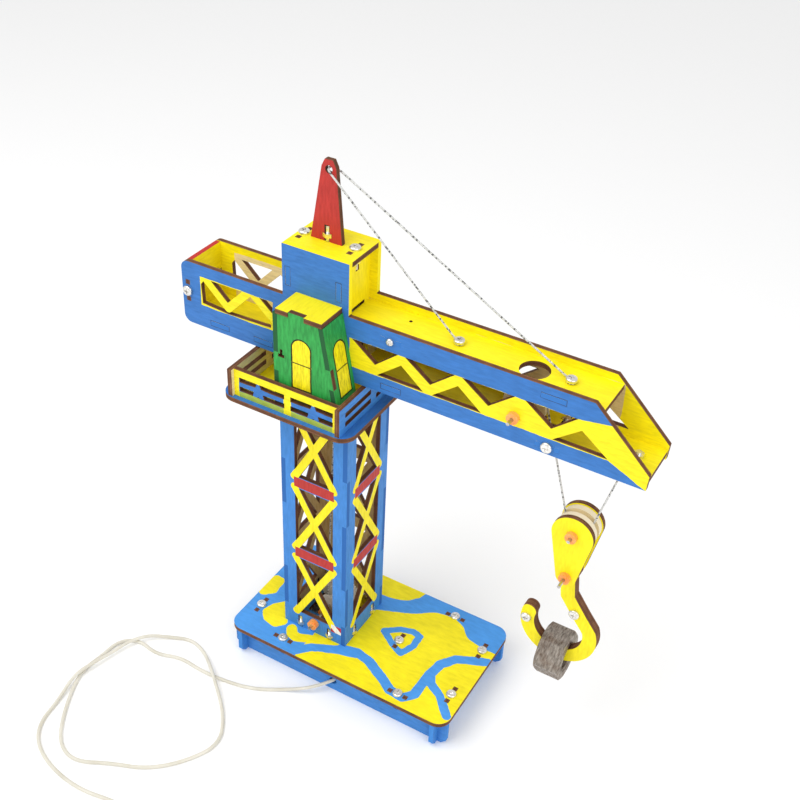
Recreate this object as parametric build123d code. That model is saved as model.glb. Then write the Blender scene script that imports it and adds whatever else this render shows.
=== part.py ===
from build123d import *
import math
import os

os.makedirs("parts", exist_ok=True)

# Toy tower crane cut from 3 mm plywood, with a powered winch in its foot.
# Millimetres, +Z up, +X along the jib, origin on the slewing axis at floor level.

# sheet, fits and hardware
ply = 3.0
fit = 0.05              # clearance round a tab in its slot
run_gap = 0.05          # radial running clearance of a shaft
collar_grip = 0.02      # radial clearance of a pushed-on collar
rope_gap = 0.15         # between a rope and the groove it runs in
screw_r = 1.5
screw_long = 12.0
head_r = 3.2
head_high = 1.9
hole_r = 1.65
nut_flats = 5.5
nut_high = 2.4
nut_depth = 2.4         # from a panel's edge to its nut
tab_pitch = 5.4         # from a screw to the tab each side of it
tab_wide = 3.0

# base
base_x0 = -52.0
base_x1 = 108.0
base_half_wide = 46.0
base_corner_r = 9.0
skirt_high = 20.0
skirt_inset_y = 8.0     # deck edge to the middle of a long panel
skirt_inset_x = 8.5     # deck edge to the middle of an end panel
skirt_overhang = 1.0    # deck edge to the end of a long panel
skirt_chamfer = 3.5
rib_x = 50.0
cable_r = 1.1
cable_hole_r = 2.7
cable_hole_x = 24.8
cable_hole_z = 8.0

# mast
mast_wide = 46.0
mast_high = 180.0
mast_screw_pitch = 22.0
mast_tab_wide = 12.0
mast_brace = 4.8
window_wide = 27.0
window_high = 48.0
window_first = 12.9     # deck top to the first window
window_pitch = 56.5
finger_steps = (17.0, 49.5, 102.0, 136.4)

# winch
axle_r = 1.0
winch_up = 9.3          # axle height over the deck's top
winch_half_long = 29.8
drum_r = 2.9
flange_r = 8.0
drum_half_wide = 5.0
rope_r = 0.55
module = 0.5
gear_teeth = 54
pinion_teeth = 15
gear_y0 = 7.0
gear_y1 = 11.0
motor_wide = 12.0
motor_high = 10.0
motor_y0 = 13.0
motor_long = 23.0
motor_shaft_r = 1.5

# slewing head
pivot_r = 5.0
pivot_bore_r = 2.5
platform_x0 = -50.0
platform_x1 = 35.0
platform_half_wide = 43.0
washer_high = 1.4
rail_high = 17.5
rail_half = 38.4        # middle of the front railing from the axis
rail_left_x = -42.75
rail_right_x = 27.75
rail_end = 42.0

# jib and house
jib_half_wide = 16.0
jib_z0 = 226.1
jib_z1 = 266.5
jib_tail_x = -93.6
jib_tip_x = 190.0
house_x0 = -24.0
house_x1 = 18.0
house_top = 297.9
wall_left_x = -20.4
wall_right_x = 11.6
top_plate_z = 259.0
bottom_plate_z = 229.0
sheave_x = 6.5
sheave_z = 250.0
sheave_rope_r = 6.5
pulley_x = 117.0
pulley_z = 241.6
pulley_rope_r = 11.0
anchor_x = 179.0
stay_near_x = 75.7
stay_far_x = 138.8
peak_top = 344.5
peak_hole_x = -4.0
peak_hole_z = 339.2
peak_hole_r = 2.2

# block, hook and load
block_x = 155.0
block_z = 173.0
block_rope_r = 6.1
block_axle_drop = 30.0
block_top_r = 12.0
block_low_r = 6.0
block_half_wide = 8.5
hook_x = 154.0
hook_z = 96.5
hook_out_r = 23.5
hook_in_r = 15.0
load_flats = 27.5
load_thick = 16.0
load_bore_r = 8.8
load_chamfer = 1.0

# worked out from the above
deck_z0 = skirt_high
deck_z1 = skirt_high + ply
mast_top = deck_z1 + mast_high
long_panel_y = base_half_wide - skirt_inset_y
end_panel_x0 = base_x0 + skirt_inset_x
end_panel_x1 = base_x1 - skirt_inset_x
mast_out = mast_wide / 2
mast_in = mast_out - ply
platform_z0 = mast_top + washer_high + 0.1
platform_z1 = platform_z0 + ply
winch_z = deck_z1 + winch_up
gear_r = module * gear_teeth / 2
pinion_r = module * pinion_teeth / 2
motor_z = winch_z - gear_r - pinion_r
jib_in = jib_half_wide - ply
block_axle_z = block_z - block_axle_drop
screw_slot = 2 * hole_r
nut_slot_wide = nut_flats + 0.3
nut_slot_high = nut_high + 0.2
fall_top = bottom_plate_z

saved = []


def save(name, *solids):
    shape = solids[0] if len(solids) == 1 else Compound(children=list(solids))
    export_step(shape, f"parts/{name}.step")
    saved.append(name)


def rect(x0, x1, y0, y1):
    return Pos((x0 + x1) / 2, (y0 + y1) / 2) * Rectangle(x1 - x0, y1 - y0)


def outline(*points):
    return make_face(Polyline(*points, close=True))


def strip(p, q, wide):
    run = math.dist(p, q)
    turn = math.degrees(math.atan2(q[1] - p[1], q[0] - p[0]))
    return Pos((p[0] + q[0]) / 2, (p[1] + q[1]) / 2) * Rot(0, 0, turn) * Rectangle(run, wide)


def disc(x, y, r):
    return Pos(x, y) * Circle(r)


def plate_xz(face, y0, y1):
    return extrude(Plane(origin=(0, y1, 0), x_dir=(1, 0, 0), z_dir=(0, -1, 0)) * face, amount=y1 - y0)


def plate_yz(face, x0, x1):
    return extrude(Plane(origin=(x0, 0, 0), x_dir=(0, 1, 0), z_dir=(1, 0, 0)) * face, amount=x1 - x0)


def plate_xy(face, z0, z1):
    return extrude(Plane.XY.offset(z0) * face, amount=z1 - z0)


def rod_y(x, z, r, y0, y1):
    return plate_xz(disc(x, z, r), y0, y1)


def ring_y(x, z, r_out, r_in, y0, y1):
    return plate_xz(disc(x, z, r_out) - disc(x, z, r_in), y0, y1)


# The sheet joint: a screw through one sheet into a nut held in a slot in the
# edge of the other, with a tab each side. Drawn with the edge along X at Y 0.
def edge_slot():
    stem = rect(-screw_slot / 2, screw_slot / 2, -1, screw_long - ply + 0.5)
    nut_room = rect(-nut_slot_wide / 2, nut_slot_wide / 2, nut_depth, nut_depth + nut_slot_high)
    return stem + nut_room


def edge_tabs(pitch=tab_pitch):
    half = tab_wide / 2
    return rect(-pitch - half, -pitch + half, -ply, 0) + rect(pitch - half, pitch + half, -ply, 0)


def face_holes(pitch=tab_pitch):
    half = tab_wide / 2 + fit
    deep = ply / 2 + fit
    tab_room = rect(-pitch - half, -pitch + half, -deep, deep) + rect(pitch - half, pitch + half, -deep, deep)
    return tab_room + Circle(hole_r)


def tab_slot(x0, x1, y0, y1):
    return rect(x0 - fit, x1 + fit, y0 - fit, y1 + fit)


# Pan head screw with its head on Z 0 and its shank down, and the nut that the
# sheet joint holds on it.
def pan_screw(long=screw_long, r=screw_r, head_wide_r=head_r):
    head = fillet(Cylinder(head_wide_r, head_high, align=(Align.CENTER, Align.CENTER, Align.MIN)).edges()
                  .group_by(Axis.Z)[-1], head_high * 0.6)
    shank = Cylinder(r, long, align=(Align.CENTER, Align.CENTER, Align.MAX))
    recess = Pos(0, 0, head_high) * (Box(3.0, 0.7, 1.8) + Box(0.7, 3.0, 1.8))
    return head + shank - recess


def hex_nut():
    hexagon = RegularPolygon(nut_flats / 2, 6, major_radius=False, rotation=30)
    return extrude(hexagon - Circle(screw_r + run_gap), amount=nut_high)


screw = pan_screw()
nut = hex_nut()
nut_on_screw = Pos(0, 0, -(ply + nut_depth + 0.1 + nut_high)) * nut


def tube(path, r):
    start = Plane(origin=path @ 0, z_dir=path % 0)
    return sweep(start * Circle(r), path=path)


# A route of straight runs joined by arcs, each arc as large as its runs allow.
def soft_route(points):
    radii = []
    for i in range(1, len(points) - 1):
        before = Vector(*points[i]) - Vector(*points[i - 1])
        after = Vector(*points[i + 1]) - Vector(*points[i])
        half_turn = math.radians(before.get_angle(after)) / 2
        radii.append(0.45 * min(before.length, after.length) / math.tan(half_turn))
    return FilletPolyline(*points, radius=radii), radii


# ---------------------------------------------------------------- base
deck_joints_x = (-14.5, 71.0)
deck_joints_y = (-21.0, 21.0)

deck = fillet(rect(base_x0, base_x1, -base_half_wide, base_half_wide).vertices(), base_corner_r)
for x in deck_joints_x:
    for y in (-long_panel_y, long_panel_y):
        deck -= Pos(x, y) * face_holes()
for y in deck_joints_y:
    for x in (end_panel_x0, end_panel_x1):
        deck -= Pos(x, y) * Rot(0, 0, 90) * face_holes()
deck -= Pos(rib_x, 0) * Rot(0, 0, 90) * face_holes()
mast_mid = mast_out - ply / 2
for turn in range(4):
    side = Rot(0, 0, 90 * turn) * Pos(0, -mast_mid)
    deck -= side * tab_slot(-mast_tab_wide / 2, mast_tab_wide / 2, -ply / 2, ply / 2)
    for x in (-mast_screw_pitch / 2, mast_screw_pitch / 2):
        deck -= side * disc(x, 0, hole_r)
gear_room = gear_r + module + 1.0
deck -= rect(-gear_room, gear_room, -flange_r, gear_y1 + 1.5)
base_deck = plate_xy(deck, deck_z0, deck_z1)


def skirt_panel(half_long, centre, joints, crossings, notch_low):
    low = outline(
        (centre - half_long, skirt_chamfer), (centre - half_long + skirt_chamfer, 0),
        (centre + half_long - skirt_chamfer, 0), (centre + half_long, skirt_chamfer),
        (centre + half_long, skirt_high), (centre - half_long, skirt_high))
    for at in joints:
        low += Pos(at, skirt_high) * Rot(0, 0, 180) * edge_tabs()
        low -= Pos(at, skirt_high) * Rot(0, 0, 180) * edge_slot()
    lap = skirt_high / 2
    for at in crossings:
        if notch_low:
            low -= rect(at - ply / 2 - fit, at + ply / 2 + fit, -1, lap)
        else:
            low -= rect(at - ply / 2 - fit, at + ply / 2 + fit, lap, skirt_high + 1)
    return low


long_mid = (base_x0 + base_x1) / 2
long_half = (base_x1 - base_x0) / 2 - skirt_overhang
end_half = base_half_wide - 0.5
long_face = skirt_panel(long_half, long_mid, deck_joints_x, (end_panel_x0, end_panel_x1), False)
end_face = skirt_panel(end_half, 0, deck_joints_y, (-long_panel_y, long_panel_y), True)
front_face = long_face - disc(cable_hole_x, cable_hole_z, cable_hole_r)
base_front_panel = plate_xz(front_face, -long_panel_y - ply / 2, -long_panel_y + ply / 2)
base_back_panel = plate_xz(long_face, long_panel_y - ply / 2, long_panel_y + ply / 2)
base_left_panel = plate_yz(end_face, end_panel_x0 - ply / 2, end_panel_x0 + ply / 2)
base_right_panel = plate_yz(end_face, end_panel_x1 - ply / 2, end_panel_x1 + ply / 2)

rib_half = long_panel_y - ply / 2
rib_face = rect(-rib_half, rib_half, 0, skirt_high)
rib_face += Pos(0, skirt_high) * Rot(0, 0, 180) * edge_tabs()
rib_face -= Pos(0, skirt_high) * Rot(0, 0, 180) * edge_slot()
base_cross_rib = plate_yz(rib_face, rib_x - ply / 2, rib_x + ply / 2)

# The motor rib is low under the motor and the gears, and full height in front.
motor_bottom = deck_z0 - motor_high
motor_face = rect(-rib_half, rib_half, 0, motor_bottom)
motor_face += rect(-rib_half, -gear_r, 0, skirt_high)
motor_rib = plate_yz(motor_face, -ply / 2, ply / 2)

save("base_deck", base_deck)
save("base_front_panel", base_front_panel)
save("base_back_panel", base_back_panel)
save("base_left_panel", base_left_panel)
save("base_right_panel", base_right_panel)
save("base_cross_rib", base_cross_rib)
save("motor_rib", motor_rib)

base_fasteners = []
for x in deck_joints_x:
    for y in (-long_panel_y, long_panel_y):
        base_fasteners += [Pos(x, y, deck_z1) * part for part in (screw, nut_on_screw)]
for y in deck_joints_y:
    for x in (end_panel_x0, end_panel_x1):
        base_fasteners += [Pos(x, y, deck_z1) * Rot(0, 0, 90) * part for part in (screw, nut_on_screw)]
base_fasteners += [Pos(rib_x, 0, deck_z1) * Rot(0, 0, 90) * part for part in (screw, nut_on_screw)]
for turn in range(4):
    for x in (-mast_screw_pitch / 2, mast_screw_pitch / 2):
        under = Rot(0, 0, 90 * turn) * Pos(x, -mast_mid, deck_z0) * Rot(180, 0, 0)
        base_fasteners += [under * part for part in (screw, nut_on_screw)]
save("base_fasteners", *base_fasteners)

# ---------------------------------------------------------------- mast
def mast_panel():
    face = rect(-mast_in, mast_in, deck_z1, mast_top)
    levels = [deck_z1] + [deck_z1 + step for step in finger_steps] + [mast_top]
    for i in range(len(levels) - 1):
        if i % 2 == 0:
            face += rect(-mast_out, -mast_in, levels[i], levels[i + 1])
        else:
            face += rect(mast_in, mast_out, levels[i], levels[i + 1])
    face += rect(-mast_tab_wide / 2, mast_tab_wide / 2, deck_z0, deck_z1)
    for row in range(3):
        low = deck_z1 + window_first + row * window_pitch
        high = low + window_high
        side = window_wide / 2
        face -= rect(-side, side, low, high)
        opening = rect(-side - 0.5, side + 0.5, low - 0.5, high + 0.5)
        face += strip((-side, low), (side, high), mast_brace) & opening
        face += strip((-side, high), (side, low), mast_brace) & opening
    for x in (-mast_screw_pitch / 2, mast_screw_pitch / 2):
        face -= Pos(x, deck_z1) * edge_slot()
    face -= tab_slot(-mast_tab_wide / 2, mast_tab_wide / 2, mast_top - ply, mast_top + 1)
    return face


axle_hole = disc(0, winch_z, axle_r + run_gap)
for turn, name in enumerate(("front", "right", "back", "left")):
    panel_face = mast_panel()
    if name in ("front", "back"):
        panel_face -= axle_hole
    panel = plate_xz(panel_face, -mast_out, -mast_in)
    save(f"mast_{name}_panel", Rot(0, 0, 90 * turn) * panel)

cap = rect(-mast_in, mast_in, -mast_in, mast_in)
for turn in range(4):
    cap += Rot(0, 0, 90 * turn) * rect(-mast_tab_wide / 2, mast_tab_wide / 2, -mast_out, -mast_in)
cap -= Circle(pivot_r + fit)
save("mast_top_plate", plate_xy(cap, mast_top - ply, mast_top))

# Hollow pivot: a threaded sleeve with a hexagon head under the mast's top
# plate, which the platform turns on and the hoist rope passes up through.
pivot_head_high = 5.0
pivot_flats = 16.0
pivot_nut_gap = 0.3
pivot_nut_high = 5.0
pivot_top = platform_z1 + pivot_nut_gap + pivot_nut_high + 1.0
sleeve = Circle(pivot_r) - Circle(pivot_bore_r)
pivot_hexagon = RegularPolygon(pivot_flats / 2, 6, major_radius=False)
pivot_bolt = plate_xy(sleeve, mast_top - ply, pivot_top)
pivot_bolt += plate_xy(pivot_hexagon - Circle(pivot_bore_r), mast_top - ply - pivot_head_high, mast_top - ply)
save("pivot_bolt", pivot_bolt)
washer = plate_xy(Circle(11.0) - Circle(pivot_r + fit), mast_top, mast_top + washer_high)
nut_z = platform_z1 + pivot_nut_gap
pivot_nut = plate_xy(pivot_hexagon - Circle(pivot_r + collar_grip), nut_z, nut_z + pivot_nut_high)
save("pivot_nut_and_washer", washer, pivot_nut)

# ---------------------------------------------------------------- winch
motor_y1 = motor_y0 + motor_long
can = rect(-motor_wide / 2, motor_wide / 2, motor_bottom, deck_z0)
can = can & Pos(0, motor_z) * Circle(motor_wide / 2 + 0.6)
gearbox_long = 9.0
gear_motor = plate_xz(can, motor_y0 + gearbox_long, motor_y1)
gear_motor += plate_xz(rect(-motor_wide / 2, motor_wide / 2, motor_bottom, deck_z0),
                       motor_y0, motor_y0 + gearbox_long)
gear_motor -= rod_y(0, motor_z, motor_shaft_r + run_gap, motor_y0 - 1, motor_y0 + 3)
save("gear_motor", gear_motor)


# Spur gear drawn round the origin, with straight-sided teeth.
def spur(teeth, bore_r, first_deg):
    pitch_r = module * teeth / 2
    tip_r = pitch_r + module * 0.8
    root_r = pitch_r - module * 1.2
    half_tooth = math.pi * module / 4 - 0.08
    lean = math.tan(math.radians(20))
    points = []
    for tooth in range(teeth):
        mid = math.radians(first_deg + 360 * tooth / teeth)
        for r, way in ((root_r, -1), (tip_r, -1), (tip_r, 1), (root_r, 1)):
            half = half_tooth - (r - pitch_r) * lean
            turn = mid + way * half / r
            points.append((r * math.cos(turn), r * math.sin(turn)))
    return outline(*points) - Circle(bore_r)


gear_first = -90.0
pinion_first = 90.0 + 180.0 / pinion_teeth
gear_face = spur(gear_teeth, axle_r + collar_grip, gear_first)
for spoke in range(5):
    gear_face -= Rot(0, 0, 72 * spoke) * disc(gear_r * 0.58, 0, gear_r * 0.2)
winch_gear = plate_xz(Pos(0, winch_z) * gear_face, gear_y0, gear_y1)
pinion_face = spur(pinion_teeth, motor_shaft_r + collar_grip, pinion_first)
pinion = plate_xz(Pos(0, motor_z) * pinion_face, gear_y0, gear_y1)
motor_shaft = rod_y(0, motor_z, motor_shaft_r, gear_y0 - 1.5, motor_y0 + 2.5)
save("winch_gear", winch_gear)
save("motor_pinion", pinion, motor_shaft)

save("winch_axle", rod_y(0, winch_z, axle_r, -winch_half_long, winch_half_long))
wound_r = drum_r + 2 * rope_r
spool = ring_y(0, winch_z, drum_r, axle_r + collar_grip, -drum_half_wide, drum_half_wide)
for y in (-drum_half_wide, drum_half_wide - 1.0):
    spool += ring_y(0, winch_z, flange_r, axle_r + collar_grip, y, y + 1.0)
wound_half = drum_half_wide - 1.0
wound_rope = ring_y(0, winch_z, wound_r, drum_r, -wound_half, wound_half)
save("winch_drum", spool, wound_rope)

collar_r = 3.3
collar_long = 3.4
collar_bore = axle_r + collar_grip
winch_collars = []
for y in (-mast_out - 0.2 - collar_long, -mast_in + 6.0, mast_out + 0.2):
    winch_collars.append(ring_y(0, winch_z, collar_r, collar_bore, y, y + collar_long))
save("winch_collars", *winch_collars)

# ---------------------------------------------------------------- slewing head
platform = fillet(rect(platform_x0, platform_x1, -platform_half_wide, platform_half_wide).vertices(),
                  base_corner_r)
platform -= Circle(pivot_r + run_gap)
wall_tabs = ((-12.0, -6.0), (6.0, 12.0))
rail_tabs = ((-22.0, -12.0), (8.0, 18.0))
for wall_x in (wall_left_x, wall_right_x):
    for y0, y1 in wall_tabs:
        platform -= tab_slot(wall_x - ply / 2, wall_x + ply / 2, y0, y1)
for rail_y in (-rail_half, rail_half):
    for x0, x1 in rail_tabs:
        platform -= tab_slot(x0, x1, rail_y - ply / 2, rail_y + ply / 2)
for rail_x in (rail_left_x, rail_right_x):
    for y0, y1 in rail_tabs:
        platform -= tab_slot(rail_x - ply / 2, rail_x + ply / 2, y0, y1)
save("slew_platform", plate_xy(platform, platform_z0, platform_z1))

rail_top = platform_z1 + rail_high
rows = ((9.8, 13.0), (3.8, 7.0))


def star(x, z, r_out, r_in):
    points = []
    for i in range(10):
        r = r_out if i % 2 == 0 else r_in
        turn = math.radians(90 + 36 * i)
        points.append((x + r * math.cos(turn), z + r * math.sin(turn)))
    return outline(*points)


star_z = platform_z1 + 7.6
star_r = 7.5
star_places = (-25.0, 11.2)


def cross_rail(with_stars):
    x0 = rail_left_x + ply / 2
    x1 = rail_right_x - ply / 2
    face = rect(x0, x1, platform_z1, rail_top)
    for low, high in rows:
        for a, b in ((x0 + 3.6, -7.6), (-3.6, x1 - 2.4)):
            face -= rect(a, b, platform_z1 + low, platform_z1 + high)
    if with_stars:
        for x in star_places:
            face += star(x, star_z, star_r, star_r * 0.42) & rect(x0, x1, platform_z1, rail_top)
    for a, b in rail_tabs:
        face += rect(a, b, platform_z0, platform_z1)
    return face


side_rail = rect(-rail_end, rail_end, platform_z1, rail_top)
for low, high in rows:
    for a, b in ((-36.0, -9.5), (-4.0, 4.0), (9.5, 36.0)):
        side_rail -= rect(a, b, platform_z1 + low, platform_z1 + high)
for a, b in rail_tabs:
    side_rail += rect(a, b, platform_z0, platform_z1)
save("railing_front", plate_xz(cross_rail(True), -rail_half - ply / 2, -rail_half + ply / 2))
save("railing_back", plate_xz(cross_rail(False), rail_half - ply / 2, rail_half + ply / 2))
save("railing_sides",
     plate_yz(side_rail, rail_left_x - ply / 2, rail_left_x + ply / 2),
     plate_yz(side_rail, rail_right_x - ply / 2, rail_right_x + ply / 2))

# ---------------------------------------------------------------- cabin
cab_y0 = -35.5
cab_back = -jib_half_wide - 0.1
cab_left = -17.0
cab_foot_right = 26.0
cab_top_right = 14.5
cab_top = platform_z1 + 60.5
cab_fingers = ((0.0, 8.0), (13.5, 24.0), (36.0, 60.5))
cab_lean = (cab_top_right - cab_foot_right) / (cab_top - platform_z1)


def lean_x(z):
    return cab_foot_right + cab_lean * (z - platform_z1)


def arch_line(x0, x1, z0, z1):
    r = (x1 - x0) / 2
    whole = rect(x0, x1, z0, z1 - r) + disc((x0 + x1) / 2, z1 - r, r)
    line = 0.6
    inner = rect(x0 + line, x1 - line, z0 + line, z1 - r) + disc((x0 + x1) / 2, z1 - r, r - line)
    bar_z = z0 + 0.5 * (z1 - z0)
    return whole - inner + rect(x0, x1, bar_z, bar_z + line)


engraving = 0.3
front_outline = outline((cab_left, platform_z1), (cab_foot_right, platform_z1),
                        (cab_top_right, cab_top), (cab_left, cab_top))
cab_tab = (-7.0, 3.0)
front_outline += rect(cab_tab[0], cab_tab[1], cab_top, cab_top + ply)
front_outline -= rect(-14.0, -10.0, platform_z1 + 33.4, platform_z1 + 35.4)
front_outline -= rect(-12.8, -11.2, platform_z1 + 35.0, platform_z1 + 38.5)
cabin_front = plate_xz(front_outline, cab_y0, cab_y0 + ply)

right_face = outline((lean_x(platform_z1) - ply, platform_z1), (lean_x(platform_z1), platform_z1),
                     (lean_x(cab_top), cab_top), (lean_x(cab_top) - ply, cab_top))
left_face = rect(cab_left, cab_left + ply, platform_z1, cab_top)
cabin_right = plate_xz(right_face, cab_y0 + ply, cab_back)
cabin_left = plate_xz(left_face, cab_y0 + ply, cab_back)
for low, high in cab_fingers:
    level = rect(cab_left - 1, cab_foot_right + 1, platform_z1 + low, platform_z1 + high)
    cabin_right += plate_xz(right_face & level, cab_y0, cab_y0 + ply)
    cabin_left += plate_xz(left_face & level, cab_y0, cab_y0 + ply)
cabin_front -= cabin_right
cabin_front -= cabin_left
cabin_front -= plate_xz(arch_line(-5.5, 7.3, platform_z1 + 16.5, platform_z1 + 49.1),
                        cab_y0, cab_y0 + engraving)
lean_turn = math.atan2(-cab_lean, 1)
lean_plane = Plane(origin=(cab_foot_right, 0, platform_z1), x_dir=(0, 1, 0),
                   z_dir=(math.cos(lean_turn), 0, math.sin(lean_turn)))
cabin_right -= extrude(lean_plane * arch_line(-30.5, -18.8, 16.5, 49.5), amount=-engraving)
save("cabin_front", cabin_front)
save("cabin_left", cabin_left)
save("cabin_right", cabin_right)
roof_face = rect(-15.0, 14.0, cab_y0 - 0.5, cab_back)
roof_face -= rect(cab_tab[0] - fit, cab_tab[1] + fit, cab_y0 - 1, cab_y0 + ply + fit)
save("cabin_roof", plate_xy(roof_face, cab_top, cab_top + ply))

# ---------------------------------------------------------------- jib and house
plate_mid_top = top_plate_z + ply / 2
plate_mid_low = bottom_plate_z + ply / 2
upper_joint_x = 43.8
upper_pitch = 4.8
upper_tab = (129.8, 143.4)
lower_tab = (39.0, 50.8)
lower_joint_x = 136.5
tail_tabs = ((-74.7, -62.0), (-44.4, -32.1))
end_plate_x = jib_tail_x + 4.0
end_joint_z = 247.4
house_tab_z = (273.6, 284.6)
brace = 5.0

side = outline((jib_tail_x, jib_z0), (jib_tip_x, jib_z0), (jib_tip_x + 0.5, jib_z0 + 8.9),
               (158.0, jib_z1), (house_x1, jib_z1), (house_x1, house_top),
               (house_x0, house_top), (house_x0, jib_z1), (jib_tail_x, jib_z1))
rounded = [v for v in side.vertices() if v.X < jib_tail_x + 0.1]
side = fillet(rounded, 5.0)
for x0, x1, peak_x in ((20.3, 48.6, 34.9), (52.8, 82.3, 68.4), (86.4, 116.4, 102.3), (121.9, 150.6, 137.4)):
    side -= outline((x0, 254.0), (x1, 254.0), (peak_x, 242.5))
for x0, x1, peak_x in ((36.3, 64.6, 50.7), (69.9, 98.8, 84.5), (138.8, 168.5, 153.4)):
    side -= outline((x0, 236.5), (x1, 236.5), (peak_x, 248.0))
tail_window = outline((-80.1, 254.5), (-77.0, 258.7), (-30.6, 259.0), (-32.4, 241.9),
                      (-62.1, 240.8), (-79.6, 242.1))
tail_zigzag = ((-79.0, 261.0), (-61.7, 244.6), (-46.0, 261.0), (-29.0, 246.4))
tail_brace = Sketch()
for i in range(3):
    tail_brace += strip(tail_zigzag[i], tail_zigzag[i + 1], brace) & tail_window
for p in tail_zigzag[1:3]:
    tail_brace += disc(p[0], p[1], brace / 2) & tail_window
side -= tail_window - tail_brace
side -= Pos(upper_joint_x, plate_mid_top) * face_holes(upper_pitch)
side -= Pos(lower_joint_x, plate_mid_low) * face_holes()
side -= Pos(end_plate_x, end_joint_z) * Rot(0, 0, 90) * face_holes()
side -= tab_slot(upper_tab[0], upper_tab[1], top_plate_z, top_plate_z + ply)
side -= tab_slot(lower_tab[0], lower_tab[1], bottom_plate_z, bottom_plate_z + ply)
for x0, x1 in tail_tabs:
    side -= tab_slot(x0, x1, bottom_plate_z, bottom_plate_z + ply)
for wall_x in (wall_left_x, wall_right_x):
    side -= tab_slot(wall_x - ply / 2, wall_x + ply / 2, house_tab_z[0], house_tab_z[1])
side -= disc(sheave_x, sheave_z, axle_r + collar_grip)
side -= disc(pulley_x, pulley_z, axle_r + collar_grip)
save("jib_front_panel", plate_xz(side, -jib_half_wide, -jib_in))
save("jib_back_panel", plate_xz(side, jib_in, jib_half_wide))


def side_tabs(x0, x1):
    return rect(x0, x1, -jib_half_wide, -jib_in) + rect(x0, x1, jib_in, jib_half_wide)


half_tab = tab_wide / 2
top_x0 = wall_right_x + ply / 2
top_x1 = 162.0
top_face = rect(top_x0, top_x1, -jib_in, jib_in)
top_face += side_tabs(*upper_tab)
for way in (-upper_pitch, upper_pitch):
    top_face += side_tabs(upper_joint_x + way - half_tab, upper_joint_x + way + half_tab)
top_face -= disc(119.0, 0, 8.2)
top_face -= disc(44.0, 5.0, 1.0)
for x in (stay_near_x, stay_far_x):
    top_face -= disc(x, 0, hole_r)
jib_top_plate = plate_xy(top_face, top_plate_z, top_plate_z + ply)
edge_screw_long = 9.0
edge_screw_r = 1.2
for way in (1, -1):
    pilot = Rot(90 * way, 0, 0) * Cylinder(edge_screw_r + collar_grip, 2 * edge_screw_long)
    jib_top_plate -= Pos(upper_joint_x, -way * jib_half_wide, plate_mid_top) * pilot
save("jib_top_plate", jib_top_plate)

pulley_room = (pulley_x - 10.0, pulley_x + 10.0, -6.0, 6.0)
rope_room = (pulley_x + 8.0, pulley_x + 18.0, -2.0, 2.0)
low_face = rect(20.0, jib_tip_x, -jib_in, jib_in)
low_face += side_tabs(*lower_tab)
for way in (-tab_pitch, tab_pitch):
    low_face += side_tabs(lower_joint_x + way - half_tab, lower_joint_x + way + half_tab)
low_face -= Pos(lower_joint_x, -jib_in) * edge_slot()
low_face -= Pos(lower_joint_x, jib_in) * Rot(0, 0, 180) * edge_slot()
low_face -= rect(*pulley_room)
low_face -= rect(*rope_room)
low_face -= disc(anchor_x, 0, hole_r)
save("jib_bottom_plate", plate_xy(low_face, bottom_plate_z, bottom_plate_z + ply))

tail_x0 = end_plate_x + ply / 2
tail_x1 = wall_left_x - ply / 2
tail_face = rect(tail_x0, tail_x1, -jib_in, jib_in)
for x0, x1 in tail_tabs:
    tail_face += side_tabs(x0, x1)
save("counterjib_bottom_plate", plate_xy(tail_face, bottom_plate_z, bottom_plate_z + ply))

end_face_yz = rect(-jib_in, jib_in, bottom_plate_z, jib_z1 - 0.5)
for way in (-1, 1):
    joint = Pos(way * jib_in, end_joint_z) * Rot(0, 0, 90 * way)
    end_face_yz += joint * edge_tabs()
    end_face_yz -= joint * edge_slot()
save("counterjib_end_plate", plate_yz(end_face_yz, end_plate_x - ply / 2, end_plate_x + ply / 2))

# The house walls stand on the platform and carry the jib's panels and roof.
roof_z0 = house_top - ply


def house_wall(rope_window):
    face = rect(-jib_in, jib_in, platform_z1, roof_z0)
    for y0, y1 in wall_tabs:
        face += rect(y0, y1, platform_z0, platform_z1)
    face += rect(-jib_half_wide, jib_half_wide, house_tab_z[0], house_tab_z[1])
    face += Pos(0, roof_z0) * Rot(0, 0, 180) * edge_tabs()
    face -= Pos(0, roof_z0) * Rot(0, 0, 180) * edge_slot()
    if rope_window:
        face -= rect(-8.0, 8.0, sheave_z - 16.0, sheave_z + 14.0)
    else:
        face -= disc(0, sheave_z, 8.0)
    return face


save("house_left_wall", plate_yz(house_wall(False), wall_left_x - ply / 2, wall_left_x + ply / 2))
save("house_right_wall", plate_yz(house_wall(True), wall_right_x - ply / 2, wall_right_x + ply / 2))

peak_x = -5.0
roof_outline = rect(house_x0, house_x1, -jib_in, jib_in)
for wall_x in (wall_left_x, wall_right_x):
    roof_outline -= Pos(wall_x, 0) * Rot(0, 0, 90) * face_holes()
roof_outline -= Pos(peak_x, 0) * face_holes()
save("house_roof", plate_xy(roof_outline, roof_z0, house_top))

peak_face = outline((-15.2, house_top), (4.3, house_top), (0.4, peak_top - 4.0), (-1.6, peak_top),
                    (-6.4, peak_top), (-8.4, peak_top - 4.0))
peak_face += Pos(peak_x, house_top) * edge_tabs()
peak_face -= Pos(peak_x, house_top) * edge_slot()
peak_face -= disc(peak_hole_x, peak_hole_z, peak_hole_r)
save("peak", plate_xz(peak_face, -ply / 2, ply / 2))

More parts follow.
